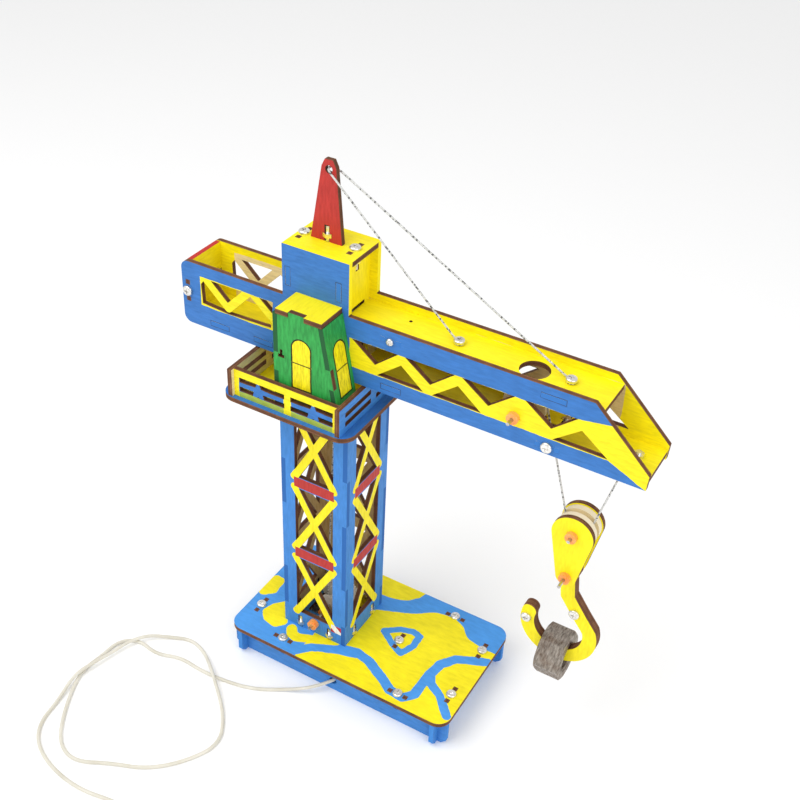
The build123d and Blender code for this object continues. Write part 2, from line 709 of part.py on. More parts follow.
edge_screw = pan_screw(edge_screw_long, edge_screw_r, 2.2)
stay_gap = 1.2
short_screw = pan_screw(8.0)
anchor_gap = 1.4
head_fasteners = []
for way in (1, -1):
    y = -way * jib_half_wide
    turn = Rot(90 * way, 0, 0)
    head_fasteners.append(Pos(upper_joint_x, y, plate_mid_top) * turn * edge_screw)
    head_fasteners += [Pos(lower_joint_x, y, plate_mid_low) * turn * part for part in (screw, nut_on_screw)]
    head_fasteners += [Pos(end_plate_x, y, end_joint_z) * turn * Rot(0, 0, 90) * part
                       for part in (screw, nut_on_screw)]
for wall_x in (wall_left_x, wall_right_x):
    head_fasteners += [Pos(wall_x, 0, house_top) * Rot(0, 0, 90) * part for part in (screw, nut_on_screw)]
head_fasteners += [Pos(peak_x, 0, roof_z0) * Rot(180, 0, 0) * part for part in (screw, nut_on_screw)]
top_of_plate = top_plate_z + ply
for x in (stay_near_x, stay_far_x):
    head_fasteners.append(Pos(x, 0, top_of_plate + stay_gap) * short_screw)
    head_fasteners.append(Pos(x, 0, top_plate_z - nut_high) * nut)
head_fasteners.append(Pos(anchor_x, 0, bottom_plate_z - anchor_gap) * Rot(180, 0, 0) * short_screw)
head_fasteners.append(Pos(anchor_x, 0, bottom_plate_z + ply) * nut)
save("head_fasteners", *head_fasteners)

# Stay rope: tied round one screw, up through the peak's hole and back down.
tie_high = stay_gap - 0.1
tie_out = head_r + 0.25
tie_ring = plate_xy(Circle(tie_out) - Circle(screw_r + 0.1), 0, tie_high)
stay_z = top_of_plate + tie_high / 2
hole_side = ply / 2 + 1.2
stay_points = [
    (stay_near_x - tie_out - rope_r, 0, stay_z + 0.4),
    (peak_hole_x + 5.0, -hole_side - 0.6, peak_hole_z - 3.6),
    (peak_hole_x - 0.4, -hole_side, peak_hole_z + 0.6),
    (peak_hole_x - 0.4, hole_side, peak_hole_z + 0.6),
    (peak_hole_x + 5.0, hole_side + 0.6, peak_hole_z - 2.0),
    (stay_far_x - tie_out - rope_r, 0, stay_z + 0.4)]
stay_line = FilletPolyline(*stay_points, radius=[1.5, 1.0, 1.0, 1.5])
stay_tube = tube(stay_line, rope_r)
stay_ties = [Pos(x, 0, top_of_plate + 0.05) * tie_ring for x in (stay_near_x, stay_far_x)]
save("stay_rope", stay_tube, *stay_ties)

# Fixed axles of the rope wheels, with the collars that keep them in place.
bush_r = 3.3
bush_long = 2.8
head_axles = [rod_y(sheave_x, sheave_z, axle_r, -jib_half_wide, jib_half_wide),
              rod_y(pulley_x, pulley_z, axle_r, -jib_half_wide - 7.4, jib_half_wide + 4.0)]
save("head_axles", *head_axles)
wheel_half = 4.0
spacer_gap = 0.3
head_collars = []
for x, z in ((sheave_x, sheave_z), (pulley_x, pulley_z)):
    for y in (-wheel_half - spacer_gap - bush_long, wheel_half + spacer_gap):
        head_collars.append(ring_y(x, z, 2.6, collar_bore, y, y + bush_long))
for y in (-jib_half_wide - bush_long, jib_half_wide):
    head_collars.append(ring_y(pulley_x, pulley_z, bush_r, collar_bore, y, y + bush_long))
save("head_collars", *head_collars)


# Rope wheel of three discs, the middle one as small as the rope's path asks.
def rope_wheel(x, z, rope_path_r, rim_r, half_wide, groove_half):
    groove_r = rope_path_r - rope_r - rope_gap
    bore = axle_r + run_gap
    wheel = ring_y(x, z, rim_r, bore, -half_wide, -groove_half)
    wheel += ring_y(x, z, groove_r, bore, -groove_half, groove_half)
    wheel += ring_y(x, z, rim_r, bore, groove_half, half_wide)
    return wheel


save("head_sheave", rope_wheel(sheave_x, sheave_z, sheave_rope_r, sheave_rope_r + 1.6, wheel_half, 1.5))
save("jib_pulley", rope_wheel(pulley_x, pulley_z, pulley_rope_r, pulley_rope_r + 0.9, wheel_half, 1.5))


# ---------------------------------------------------------------- hoist rope
# Angle of the common normal of two rope circles: outer when both are touched
# on one side, crossing when the rope passes between them.
def tangent_angle(c1, r1, c2, r2, way, crossing):
    dx = c2[0] - c1[0]
    dz = c2[1] - c1[1]
    reach = r1 + r2 if crossing else r1 - r2
    return math.atan2(dz, dx) + way * math.acos(reach / math.hypot(dx, dz))


def on_circle(c, r, turn):
    return (c[0] + r * math.cos(turn), c[1] + r * math.sin(turn))


def cut_at(p, q, z):
    share = (z - p[1]) / (q[1] - p[1])
    return (p[0] + share * (q[0] - p[0]), z)


def arc_between(c, r, start, end):
    return CenterArc(c, r, math.degrees(start), math.degrees(end - start))


sheave_c = (sheave_x, sheave_z)
pulley_c = (pulley_x, pulley_z)
block_c = (block_x, block_z)
anchor_p = (anchor_x - head_r - rope_r - 0.3, bottom_plate_z - anchor_gap / 2)
over = tangent_angle(sheave_c, sheave_rope_r, pulley_c, pulley_rope_r, 1, False)
down = tangent_angle(pulley_c, pulley_rope_r, block_c, block_rope_r, 1, True)
up = tangent_angle(block_c, block_rope_r, anchor_p, 0.0, -1, False)

rope_axis_x = sheave_x - sheave_rope_r
split_z = pivot_top + 0.4
fall_a_top = on_circle(pulley_c, pulley_rope_r, down)
fall_a_low = on_circle(block_c, -block_rope_r, down)
fall_b_low = on_circle(block_c, block_rope_r, up)
fall_a_cut = cut_at(fall_a_top, fall_a_low, fall_top)
fall_b_cut = cut_at(fall_b_low, anchor_p, fall_top - anchor_gap)

jib_run = Polyline((rope_axis_x, split_z), (rope_axis_x, sheave_z))
jib_run += arc_between(sheave_c, sheave_rope_r, math.pi, over)
jib_run += Line(on_circle(sheave_c, sheave_rope_r, over), on_circle(pulley_c, pulley_rope_r, over))
jib_run += arc_between(pulley_c, pulley_rope_r, over, down)
jib_run += Line(fall_a_top, cut_at(fall_a_top, fall_a_low, fall_top + 0.3))
jib_wire = Plane.XZ * Wire(jib_run.edges())
anchor_tie = Pos(anchor_x, 0, bottom_plate_z - anchor_gap + 0.05) * tie_ring
save("hoist_rope_jib", tube(jib_wire, rope_r), anchor_tie)

# The two falls stretch and shorten as the block travels.
fall_clear = 0.3
fall_a = Plane.XZ * Wire([Line(fall_a_cut, cut_at(fall_a_top, fall_a_low, fall_a_low[1] + fall_clear)).edge()])
fall_b = Plane.XZ * Wire([Line(fall_b_cut, cut_at(fall_b_low, anchor_p, fall_b_low[1] + fall_clear)).edge()])
save("hoist_rope_falls", tube(fall_a, rope_r), tube(fall_b, rope_r))

loop_start = down + math.pi
loop_end = up + 2 * math.pi
loop = Plane.XZ * Wire([arc_between(block_c, block_rope_r, loop_start, loop_end).edge()])

mast_rope_x = wound_r + rope_r + rope_gap
mast_rope = Plane.XZ * Wire([Line((-mast_rope_x, winch_z), (rope_axis_x, pivot_top)).edge()])
save("hoist_rope_mast", tube(mast_rope, rope_r))

# ---------------------------------------------------------------- block
cheek_in = block_half_wide - ply


def teardrop():
    c1 = (block_x, block_z)
    c2 = (block_x, block_axle_z)
    lean = math.acos((block_top_r - block_low_r) / block_axle_drop)
    points = []
    for c, r, turn in ((c1, block_top_r, -math.pi / 2 + lean), (c2, block_low_r, -math.pi / 2 + lean),
                       (c2, block_low_r, -math.pi / 2 - lean), (c1, block_top_r, -math.pi / 2 - lean)):
        points.append(on_circle(c, r, turn))
    return outline(*points) + disc(*c1, block_top_r) + disc(*c2, block_low_r)


cheek_face = teardrop() - disc(block_x, block_z, axle_r + collar_grip)
cheek_face -= disc(block_x, block_axle_z, axle_r + collar_grip)
save("block_cheeks",
     plate_xz(cheek_face, -block_half_wide, -cheek_in),
     plate_xz(cheek_face, cheek_in, block_half_wide))
upper_out = bush_long + 2.6
lower_out = bush_long + 6.4
save("block_axles",
     rod_y(block_x, block_z, axle_r, -block_half_wide - upper_out, block_half_wide + 1.0),
     rod_y(block_x, block_axle_z, axle_r, -block_half_wide - lower_out, block_half_wide + bush_long + 1.0))
block_collars = [ring_y(block_x, block_z, bush_r, collar_bore, -block_half_wide - bush_long, -block_half_wide)]
for y in (-block_half_wide - bush_long, block_half_wide):
    block_collars.append(ring_y(block_x, block_axle_z, bush_r, collar_bore, y, y + bush_long))
save("block_collars", *block_collars)
save("block_rope_loop", tube(loop, rope_r))
block_rim_r = 11.3
save("block_pulley", rope_wheel(block_x, block_z, block_rope_r, block_rim_r, cheek_in - 0.3, 1.5))

# ---------------------------------------------------------------- hook
shank_wide = hook_out_r - hook_in_r
ring_mid_r = (hook_out_r + hook_in_r) / 2
shank = ((block_x - 0.7, block_axle_z), (156.5, 124.0), (165.5, 111.5))
ring_start = math.radians(20.0)
ring_end = math.radians(165.0)
hook_face = disc(block_x, block_axle_z, block_low_r)
for i in range(2):
    hook_face += strip(shank[i], shank[i + 1], shank_wide)
    hook_face += disc(shank[i + 1][0], shank[i + 1][1], shank_wide / 2)
shoulder = on_circle((hook_x, hook_z), ring_mid_r, ring_start)
hook_face += strip(shank[2], shoulder, shank_wide)
hook_face += disc(shoulder[0], shoulder[1], shank_wide / 2)
tip = on_circle((hook_x, hook_z), ring_mid_r, ring_end)
bowl = disc(hook_x, hook_z, hook_out_r) - disc(hook_x, hook_z, hook_in_r)
far = 2 * hook_out_r
mouth = outline((hook_x, hook_z),
                (hook_x + far * math.cos(ring_start), hook_z + far * math.sin(ring_start)),
                (hook_x + far, hook_z + far), (hook_x - far, hook_z + far),
                (hook_x + far * math.cos(ring_end), hook_z + far * math.sin(ring_end)))
hook_face += bowl - mouth
hook_face += disc(tip[0], tip[1], shank_wide / 2)
hook_face -= disc(block_x, block_axle_z, axle_r + run_gap)
hook_screw_places = ((134.2, 96.0), (162.1, 113.3))
for x, z in hook_screw_places:
    hook_face -= disc(x, z, hole_r)
save("hook_layers", plate_xz(hook_face, -ply, 0), plate_xz(hook_face, 0, ply))
hook_screw = pan_screw(2 * ply + nut_high)
hook_fasteners = []
for x, z in hook_screw_places:
    hook_fasteners.append(Pos(x, -ply, z) * Rot(90, 0, 0) * hook_screw)
    hook_fasteners.append(Pos(x, ply, z) * Rot(-90, 0, 0) * nut)
save("hook_fasteners", *hook_fasteners)

# Load: a hexagon steel nut hung on the hook, its bore along X.
load_rest_gap = 0.3
bore_at_edge = math.sqrt(load_bore_r ** 2 - ply ** 2)
chamfer_x = load_thick / 2 - load_chamfer
load_z = hook_z - math.sqrt(hook_in_r ** 2 - chamfer_x ** 2) + load_rest_gap - bore_at_edge
load_hexagon = RegularPolygon(load_flats / 2, 6, major_radius=False)
load_nut = plate_yz(load_hexagon, -load_thick / 2, load_thick / 2)
crown_r = load_flats / 2 / math.cos(math.radians(30))
crown = Cylinder(crown_r, load_thick)
crown = chamfer(crown.edges().filter_by(GeomType.CIRCLE), 1.0, 1.8)
load_nut = load_nut & Rot(0, 90, 0) * crown
bore = Cylinder(load_bore_r, load_thick)
for way in (1, -1):
    bore += Pos(0, 0, way * (load_thick / 2 - load_chamfer / 2)) * Rot(0 if way > 0 else 180, 0, 0) * Cone(
        load_bore_r, load_bore_r + load_chamfer, load_chamfer)
load_nut = load_nut - Rot(0, 90, 0) * bore
save("load_nut", Pos(hook_x, 0, load_z) * load_nut)

# ---------------------------------------------------------------- power cable
# From the motor out through the front panel and along the floor in two
# loose loops, then to a small coil of the spare length and its plug.
floor_z = cable_r + 0.05
over_z = floor_z + 2 * cable_r + 0.8
cable_points = [
    (motor_wide / 2, 28.0, motor_z),
    (17.0, 28.0, motor_z),
    (27.0, 18.0, 11.0),
    (31.5, 0.0, cable_hole_z),
    (31.0, -20.0, cable_hole_z),
    (cable_hole_x + 1.6, -long_panel_y + 1.0, cable_hole_z),
    (14.5, -50.0, 5.0),
    (-1.0, -57.5, floor_z),
    (-18.0, -67.5, floor_z),
    (-36.0, -71.5, floor_z),
    (-56.0, -73.0, floor_z),
    (-73.0, -71.0, floor_z),
    (-89.0, -77.5, floor_z),
    (-106.0, -73.5, floor_z),
    (-117.0, -82.0, floor_z),
    (-117.5, -97.0, floor_z),
    (-120.0, -112.0, floor_z),
    (-115.0, -127.0, floor_z),
    (-104.0, -148.0, floor_z),
    (-92.0, -163.5, floor_z),
    (-76.0, -168.5, floor_z),
    (-57.0, -158.0, floor_z),
    (-36.0, -150.0, floor_z),
    (-20.0, -134.0, floor_z),
    (-9.5, -113.0, floor_z),
    (-21.0, -93.5, floor_z),
    (-41.0, -76.5, over_z),
    (-51.0, -68.5, over_z),
    (-63.5, -59.0, floor_z),
    (-77.0, -55.0, floor_z),
    (-90.5, -61.0, floor_z),
    (-101.5, -69.0, over_z),
    (-109.0, -80.0, over_z),
    (-112.5, -92.0, 2.8),
    (-115.4, -103.5, over_z),
    (-119.8, -120.0, over_z),
    (-115.5, -140.0, floor_z),
    (-113.5, -157.0, floor_z),
    (-104.0, -170.0, floor_z),
    (-85.0, -178.5, floor_z),
    (-60.0, -181.5, floor_z),
    (-36.0, -176.5, floor_z)]
coil_x = -3.0
coil_y = -193.0
coil_mid_r = 14.0
coil_half = 2 * cable_r
coil_entry = (coil_x, coil_y + coil_mid_r + 0.5 * coil_half, floor_z)
cable_points.append((-18.0, coil_entry[1] + 0.8, floor_z))
cable_points.append(coil_entry)
cable_line, cable_radii = soft_route(cable_points)
power_cable = tube(cable_line, cable_r)
print("cable length", round(cable_line.length, 1), "radii", [round(r, 1) for r in cable_radii])
print("cable volume share", round(power_cable.volume / (math.pi * cable_r ** 2 * cable_line.length), 4))
coil = plate_xy(disc(coil_x, coil_y, coil_mid_r + coil_half) - disc(coil_x, coil_y, coil_mid_r - coil_half),
                0.05, 0.05 + 2 * coil_half)
coil_round = fillet(coil.edges(), coil_half * 0.4)

plug_y = coil_y - 6.0
plug_x0 = coil_x + coil_mid_r + coil_half + 8.0
grip_long = 22.0
grip = Pos(plug_x0 + grip_long / 2, plug_y, 4.05) * Box(grip_long, 14.0, 8.0)
grip = fillet(grip.edges(), 1.5)
shell = Pos(plug_x0 + grip_long + 7.0, plug_y, 4.05) * Box(14.0, 12.0, 4.5)
shell -= Pos(plug_x0 + grip_long + 9.0, plug_y, 4.9) * Box(12.0, 11.2, 2.0)
tail_points = [(coil_x + coil_mid_r - 0.5, coil_y + 2.0, 3.8), (coil_x + coil_mid_r + 0.5, coil_y - 4.0, 3.9),
               (plug_x0, plug_y, 4.05)]
cable_tail = tube(soft_route(tail_points)[0], cable_r)
save("power_cable", power_cable, cable_tail)
save("power_cable_coil", coil_round)
save("power_plug", grip + shell)

print(len(saved), "nodes")
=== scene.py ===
import math
import bpy
from mathutils import Matrix, Vector


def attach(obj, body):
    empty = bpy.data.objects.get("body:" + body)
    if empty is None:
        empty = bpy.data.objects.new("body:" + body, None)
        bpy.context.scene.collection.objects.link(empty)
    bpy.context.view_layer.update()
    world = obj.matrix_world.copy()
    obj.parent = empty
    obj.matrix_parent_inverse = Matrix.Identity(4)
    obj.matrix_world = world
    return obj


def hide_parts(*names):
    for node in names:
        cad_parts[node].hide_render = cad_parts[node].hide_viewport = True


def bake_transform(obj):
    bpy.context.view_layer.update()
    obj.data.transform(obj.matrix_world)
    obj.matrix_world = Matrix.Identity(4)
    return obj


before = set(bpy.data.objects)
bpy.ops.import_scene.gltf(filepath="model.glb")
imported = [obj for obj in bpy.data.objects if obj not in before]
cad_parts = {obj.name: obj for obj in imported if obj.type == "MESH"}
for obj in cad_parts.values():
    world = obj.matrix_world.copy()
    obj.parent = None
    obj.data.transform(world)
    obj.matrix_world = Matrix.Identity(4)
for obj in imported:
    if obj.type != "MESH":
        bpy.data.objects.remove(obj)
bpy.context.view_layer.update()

mm = 0.001
print("frame loaded,", len(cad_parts), "nodes")


# Small helpers for shader trees.
def paint(code):
    # a web colour as linear light
    shades = [int(code[i:i + 2], 16) / 255 for i in (1, 3, 5)]
    linear = [s / 12.92 if s <= 0.04045 else ((s + 0.055) / 1.055) ** 2.4 for s in shades]
    return (*linear, 1.0)


def fill(tree, socket, value):
    if isinstance(value, bpy.types.NodeSocket):
        tree.links.new(value, socket)
    else:
        socket.default_value = value


def add(tree, kind, values=None, **settings):
    made = tree.nodes.new(kind)
    for key, value in settings.items():
        setattr(made, key, value)
    for key, value in (values or {}).items():
        fill(tree, made.inputs[key], value)
    return made


def calc(tree, operation, a, b=0.0, c=0.0, clamp=False):
    made = add(tree, "ShaderNodeMath", {0: a, 1: b, 2: c}, operation=operation, use_clamp=clamp)
    return made.outputs[0]


def vectorCalc(tree, operation, a, b=(0, 0, 0), out="Vector", scale=1.0):
    values = {0: a} if operation in ("LENGTH", "SCALE") else {0: a, 1: b}
    made = add(tree, "ShaderNodeVectorMath", values, operation=operation)
    if operation == "SCALE":
        fill(tree, made.inputs["Scale"], scale)
    return made.outputs[out]


def mixColor(tree, share, a, b, blend="MIX"):
    made = add(tree, "ShaderNodeMix", {0: share, 6: a, 7: b}, data_type="RGBA", blend_type=blend)
    return made.outputs[2]


def spread(tree, value, low, high, toLow=0.0, toHigh=1.0):
    made = add(tree, "ShaderNodeMapRange", {0: value, 1: low, 2: high, 3: toLow, 4: toHigh})
    return made.outputs[0]


def noise(tree, point, scale, detail=3.0, rough=0.55):
    made = add(tree, "ShaderNodeTexNoise",
               {"Vector": point, "Scale": scale, "Detail": detail, "Roughness": rough})
    return made.outputs[0]


def between(tree, value, low, high):
    above = calc(tree, "GREATER_THAN", value, low)
    below = calc(tree, "LESS_THAN", value, high)
    return calc(tree, "MULTIPLY", above, below)


def union(tree, *masks):
    total = masks[0]
    for mask in masks[1:]:
        total = calc(tree, "MAXIMUM", total, mask)
    return total


def newGroup(name, inputs, outputs):
    tree = bpy.data.node_groups.new(name, "ShaderNodeTree")
    for label, kind in inputs:
        tree.interface.new_socket(name=label, in_out="INPUT", socket_type="NodeSocket" + kind)
    for label, kind in outputs:
        tree.interface.new_socket(name=label, in_out="OUTPUT", socket_type="NodeSocket" + kind)
    return tree, tree.nodes.new("NodeGroupInput").outputs, tree.nodes.new("NodeGroupOutput").inputs


def useGroup(tree, group, values):
    made = tree.nodes.new("ShaderNodeGroup")
    made.node_tree = group
    for key, value in values.items():
        fill(tree, made.inputs[key], value)
    return made.outputs


# Brushed paint: streaks along the stroke, and patches where it is thinner.
brushPaint, gIn, gOut = newGroup(
    "brushPaint", (("Point", "Vector"), ("Color", "Color"), ("Stretch", "Vector"), ("Strength", "Float")),
    (("Color", "Color"), ("Roughness", "Float"), ("Height", "Float")))
t = brushPaint
streakPoint = vectorCalc(t, "MULTIPLY", gIn["Point"], gIn["Stretch"])
streaks = noise(t, streakPoint, 1.0, 4.0, 0.6)
patches = noise(t, gIn["Point"], 70.0, 3.0, 0.5)
darkest = calc(t, "SUBTRACT", 1.0, gIn["Strength"])
lightest = calc(t, "MULTIPLY_ADD", gIn["Strength"], 0.45, 1.0)
streakShade = spread(t, streaks, 0.3, 0.7, darkest, lightest)
patchShade = spread(t, patches, 0.3, 0.7, 0.93, 1.05)
shade = calc(t, "MULTIPLY", streakShade, patchShade)
t.links.new(vectorCalc(t, "SCALE", gIn["Color"], scale=shade), gOut["Color"])
t.links.new(spread(t, streaks, 0.3, 0.7, 0.62, 0.46), gOut["Roughness"])
t.links.new(streaks, gOut["Height"])

# Laser-cut plywood edge: three plies across the sheet, charred in patches.
burntEdge, gIn, gOut = newGroup(
    "burntEdge", (("Point", "Vector"), ("Across", "Vector"), ("Start", "Float"), ("Char", "Float")),
    (("Color", "Color"), ("Height", "Float")))
t = burntEdge
depth = vectorCalc(t, "DOT_PRODUCT", gIn["Point"], gIn["Across"], "Value")
depth = calc(t, "SUBTRACT", depth, gIn["Start"])
layer = calc(t, "FRACT", calc(t, "MULTIPLY", depth, 1000.0 / 3.0))
fromMiddle = calc(t, "ABSOLUTE", calc(t, "SUBTRACT", layer, 0.5))
waver = calc(t, "MULTIPLY_ADD", noise(t, gIn["Point"], 300.0), 0.08, fromMiddle)
middlePly = calc(t, "LESS_THAN", waver, 0.2)
glueLine = between(t, waver, 0.19, 0.25)
charPatch = noise(t, gIn["Point"], 160.0, 4.0, 0.65)
woodTone = mixColor(t, middlePly, paint("#9A6A46"), paint("#7A4B2E"))
woodTone = mixColor(t, spread(t, charPatch, 0.35, 0.65, 0.0, 0.8), woodTone, paint("#5E3822"))
woodTone = mixColor(t, calc(t, "MULTIPLY", glueLine, 0.6), woodTone, paint("#2A140A"))
seam = calc(t, "GREATER_THAN", fromMiddle, 0.45)
woodTone = mixColor(t, calc(t, "MULTIPLY", seam, 0.6), woodTone, paint("#2A140A"))
woodTone = mixColor(t, gIn["Char"], woodTone, paint("#3B1F14"))
t.links.new(woodTone, gOut["Color"])
t.links.new(calc(t, "MULTIPLY_ADD", middlePly, -0.4, charPatch), gOut["Height"])

# Bare sanded veneer, grain along the stretched direction.
bareWood, gIn, gOut = newGroup(
    "bareWood", (("Point", "Vector"), ("Stretch", "Vector"), ("Light", "Color"), ("Dark", "Color")),
    (("Color", "Color"), ("Height", "Float")))
t = bareWood
grainPoint = vectorCalc(t, "MULTIPLY", gIn["Point"], gIn["Stretch"])
grain = noise(t, grainPoint, 1.0, 5.0, 0.65)
rings = noise(t, grainPoint, 0.25, 2.0, 0.5)
tone = mixColor(t, spread(t, grain, 0.3, 0.7), gIn["Dark"], gIn["Light"])
tone = mixColor(t, spread(t, rings, 0.45, 0.75, 0.0, 0.45), tone, gIn["Dark"])
t.links.new(tone, gOut["Color"])
t.links.new(grain, gOut["Height"])

# How far a point lies from the straight run of a brush stroke.
strokeRun, gIn, gOut = newGroup(
    "strokeRun", (("Point", "Vector"), ("From", "Vector"), ("To", "Vector")), (("Distance", "Float"),))
t = strokeRun
toPoint = vectorCalc(t, "SUBTRACT", gIn["Point"], gIn["From"])
run = vectorCalc(t, "SUBTRACT", gIn["To"], gIn["From"])
along = vectorCalc(t, "DOT_PRODUCT", toPoint, run, "Value")
whole = vectorCalc(t, "DOT_PRODUCT", run, run, "Value")
share = calc(t, "DIVIDE", along, whole, clamp=True)
nearest = vectorCalc(t, "SCALE", run, scale=share)
away = vectorCalc(t, "SUBTRACT", toPoint, nearest)
t.links.new(vectorCalc(t, "LENGTH", away, out="Value"), gOut["Distance"])

# A hand-painted line wanders a little: moves the point by a fine and a coarse noise.
handWobble, gIn, gOut = newGroup(
    "handWobble", (("Point", "Vector"), ("Amount", "Float")), (("Point", "Vector"),))
t = handWobble
fine = add(t, "ShaderNodeTexNoise", {"Vector": gIn["Point"], "Scale": 420.0, "Detail": 2.0}).outputs[1]
coarse = add(t, "ShaderNodeTexNoise", {"Vector": gIn["Point"], "Scale": 90.0, "Detail": 2.0}).outputs[1]
both = vectorCalc(t, "ADD", vectorCalc(t, "SCALE", fine, scale=0.4), coarse)
centred = vectorCalc(t, "SUBTRACT", both, (0.7, 0.7, 0.7))
shift = vectorCalc(t, "SCALE", centred, scale=gIn["Amount"])
t.links.new(vectorCalc(t, "ADD", gIn["Point"], shift), gOut["Point"])
print("node groups ready")


# Material makers.
def newMaterial(name, roughness=0.5, metallic=0.0):
    mat = bpy.data.materials.new(name)
    mat.use_nodes = True
    tree = mat.node_tree
    shader = tree.nodes["Principled BSDF"]
    shader.inputs["Roughness"].default_value = roughness
    shader.inputs["Metallic"].default_value = metallic
    return mat, tree, shader


def addBump(tree, shader, height, strength, distance):
    bump = add(tree, "ShaderNodeBump", {"Strength": strength, "Distance": distance, "Height": height})
    tree.links.new(bump.outputs[0], shader.inputs["Normal"])


def dress(node, mat):
    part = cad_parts[node]
    if part.material_slots:
        for holder in part.material_slots:
            holder.link = "OBJECT"
            holder.material = mat
    else:
        part.data.materials.append(mat)


colors = {
    "blue": paint("#3E86D2"), "deckBlue": paint("#4A9AE8"), "jibBlue": paint("#3676C0"),
    "yellow": paint("#FBEA0C"), "red": paint("#B8302A"), "green": paint("#2FA348"),
    "darkGreen": paint("#1F5A30"),
    "lightWood": paint("#EBD9AC"), "innerLight": paint("#DCC592"), "innerDark": paint("#B99C66"),
    "shadeBlue": paint("#2B66AE")}


def boardMaterial(name, across, start, front, back=None, stretch=(160, 700, 700), strength=0.16,
                  char=0.25, edgePaint=None, edgeAt=None, wobble=0.0009):
    # across is the sheet's outer normal; start is its inner face's place along it
    mat, tree, shader = newMaterial(name)
    where = add(tree, "ShaderNodeTexCoord")
    point, normal = where.outputs["Object"], where.outputs["Normal"]
    facing = vectorCalc(tree, "DOT_PRODUCT", normal, across, "Value")
    onFront = calc(tree, "GREATER_THAN", facing, 0.5)
    onBack = calc(tree, "LESS_THAN", facing, -0.5)
    onFace = calc(tree, "MAXIMUM", onFront, onBack)
    moved = useGroup(tree, handWobble, {"Point": point, "Amount": wobble})["Point"]
    frontColor = front(tree, moved) if callable(front) else front
    painted = useGroup(tree, brushPaint, {"Point": point, "Color": frontColor, "Stretch": stretch,
                                          "Strength": strength})
    color, height = painted["Color"], painted["Height"]
    if back == "bare":
        wood = useGroup(tree, bareWood, {"Point": point, "Stretch": tuple(s * 0.8 for s in stretch),
                                         "Light": colors["innerLight"], "Dark": colors["innerDark"]})
        color = mixColor(tree, onBack, color, wood["Color"])
    elif back is not None:
        backColor = back(tree, moved) if callable(back) else back
        backPaint = useGroup(tree, brushPaint, {"Point": point, "Color": backColor, "Stretch": stretch,
                                                "Strength": strength})
        color = mixColor(tree, onBack, color, backPaint["Color"])
    edge = useGroup(tree, burntEdge, {"Point": point, "Across": across, "Start": start, "Char": char})
    edgeColor = edge["Color"]
    if edgePaint is not None:
        cover = edgeAt(tree, point) if edgeAt else 1.0
        edgeColor = mixColor(tree, cover, edgeColor, edgePaint)
    tree.links.new(mixColor(tree, onFace, edgeColor, color), shader.inputs["Base Color"])
    tree.links.new(spread(tree, onFace, 0.0, 1.0, 0.8, painted["Roughness"]), shader.inputs["Roughness"])
    relief = mixColor(tree, onFace, edge["Height"], height)
    addBump(tree, shader, relief, 0.35, 0.00025)
    shader.inputs["Specular IOR Level"].default_value = 0.35
    return mat


def axesOf(tree, point):
    parts = add(tree, "ShaderNodeSeparateXYZ", {0: point}).outputs
    return parts[0], parts[1], parts[2]


def strokeMask(tree, point, strokes):
    # strokes: (half width, points) in millimetres on the plane z = 0
    x, y, z = axesOf(tree, point)
    flat = add(tree, "ShaderNodeCombineXYZ", {0: x, 1: y}).outputs[0]
    masks = []
    for half, places in strokes:
        nearestRun = None
        for a, b in zip(places, places[1:]):
            away = useGroup(tree, strokeRun, {"Point": flat, "From": (a[0] * mm, a[1] * mm, 0),
                                              "To": (b[0] * mm, b[1] * mm, 0)})["Distance"]
            nearestRun = away if nearestRun is None else calc(tree, "MINIMUM", nearestRun, away)
        masks.append(calc(tree, "LESS_THAN", nearestRun, half * mm))
    return union(tree, *masks)


def curveOver(tree, x, places, xRange, yRange):
    # a hand-drawn boundary: its height over x, both in millimetres
    across = spread(tree, x, xRange[0] * mm, xRange[1] * mm)
    made = add(tree, "ShaderNodeFloatCurve", {1: across})
    line = made.mapping.curves[0]
    scaled = [((px - xRange[0]) / (xRange[1] - xRange[0]), (py - yRange[0]) / (yRange[1] - yRange[0]))
              for px, py in places]
    line.points[0].location, line.points[1].location = scaled[0], scaled[-1]
    for place in scaled[1:-1]:
        line.points.new(*place)
    made.mapping.update()
    return calc(tree, "MULTIPLY_ADD", made.outputs[0], (yRange[1] - yRange[0]) * mm, yRange[0] * mm)


# Camera.
view = {"azimuth": 28.6, "elevation": 36.0, "roll": 2.7, "distance": 802.6, "target": (-16.7, 108.3, 123.0),
        "lens": 52.8, "sensor": 36.0}


def makeCamera():
    az, el, roll = (math.radians(view[k]) for k in ("azimuth", "elevation", "roll"))
    back = Vector((math.sin(az) * math.cos(el), -math.cos(az) * math.cos(el), math.sin(el)))
    right = Vector((math.cos(az), math.sin(az), 0.0))
    up = back.cross(right)
    turnedRight = right * math.cos(roll) + up * math.sin(roll)
    turnedUp = up * math.cos(roll) - right * math.sin(roll)
    data = bpy.data.cameras.new("camera")
    data.lens, data.sensor_width = view["lens"], view["sensor"]
    data.clip_start, data.clip_end = 0.05, 20.0
    camera = bpy.data.objects.new("camera", data)
    camera.matrix_world = Matrix.Translation(Vector(view["target"]) * mm + back * view["distance"] * mm) @ Matrix(
        (turnedRight, turnedUp, back)).transposed().to_4x4()
    bpy.context.scene.collection.objects.link(camera)
    bpy.context.scene.camera = camera


makeCamera()
bpy.context.scene.view_settings.view_transform = "Standard"

# Floor and light.
studio = {"floorSize": 6.0, "floorColor": "#FFFFFF", "world": 0.8, "keyPower": 7.0, "keySize": 0.9,
          "fillPower": 3.0}


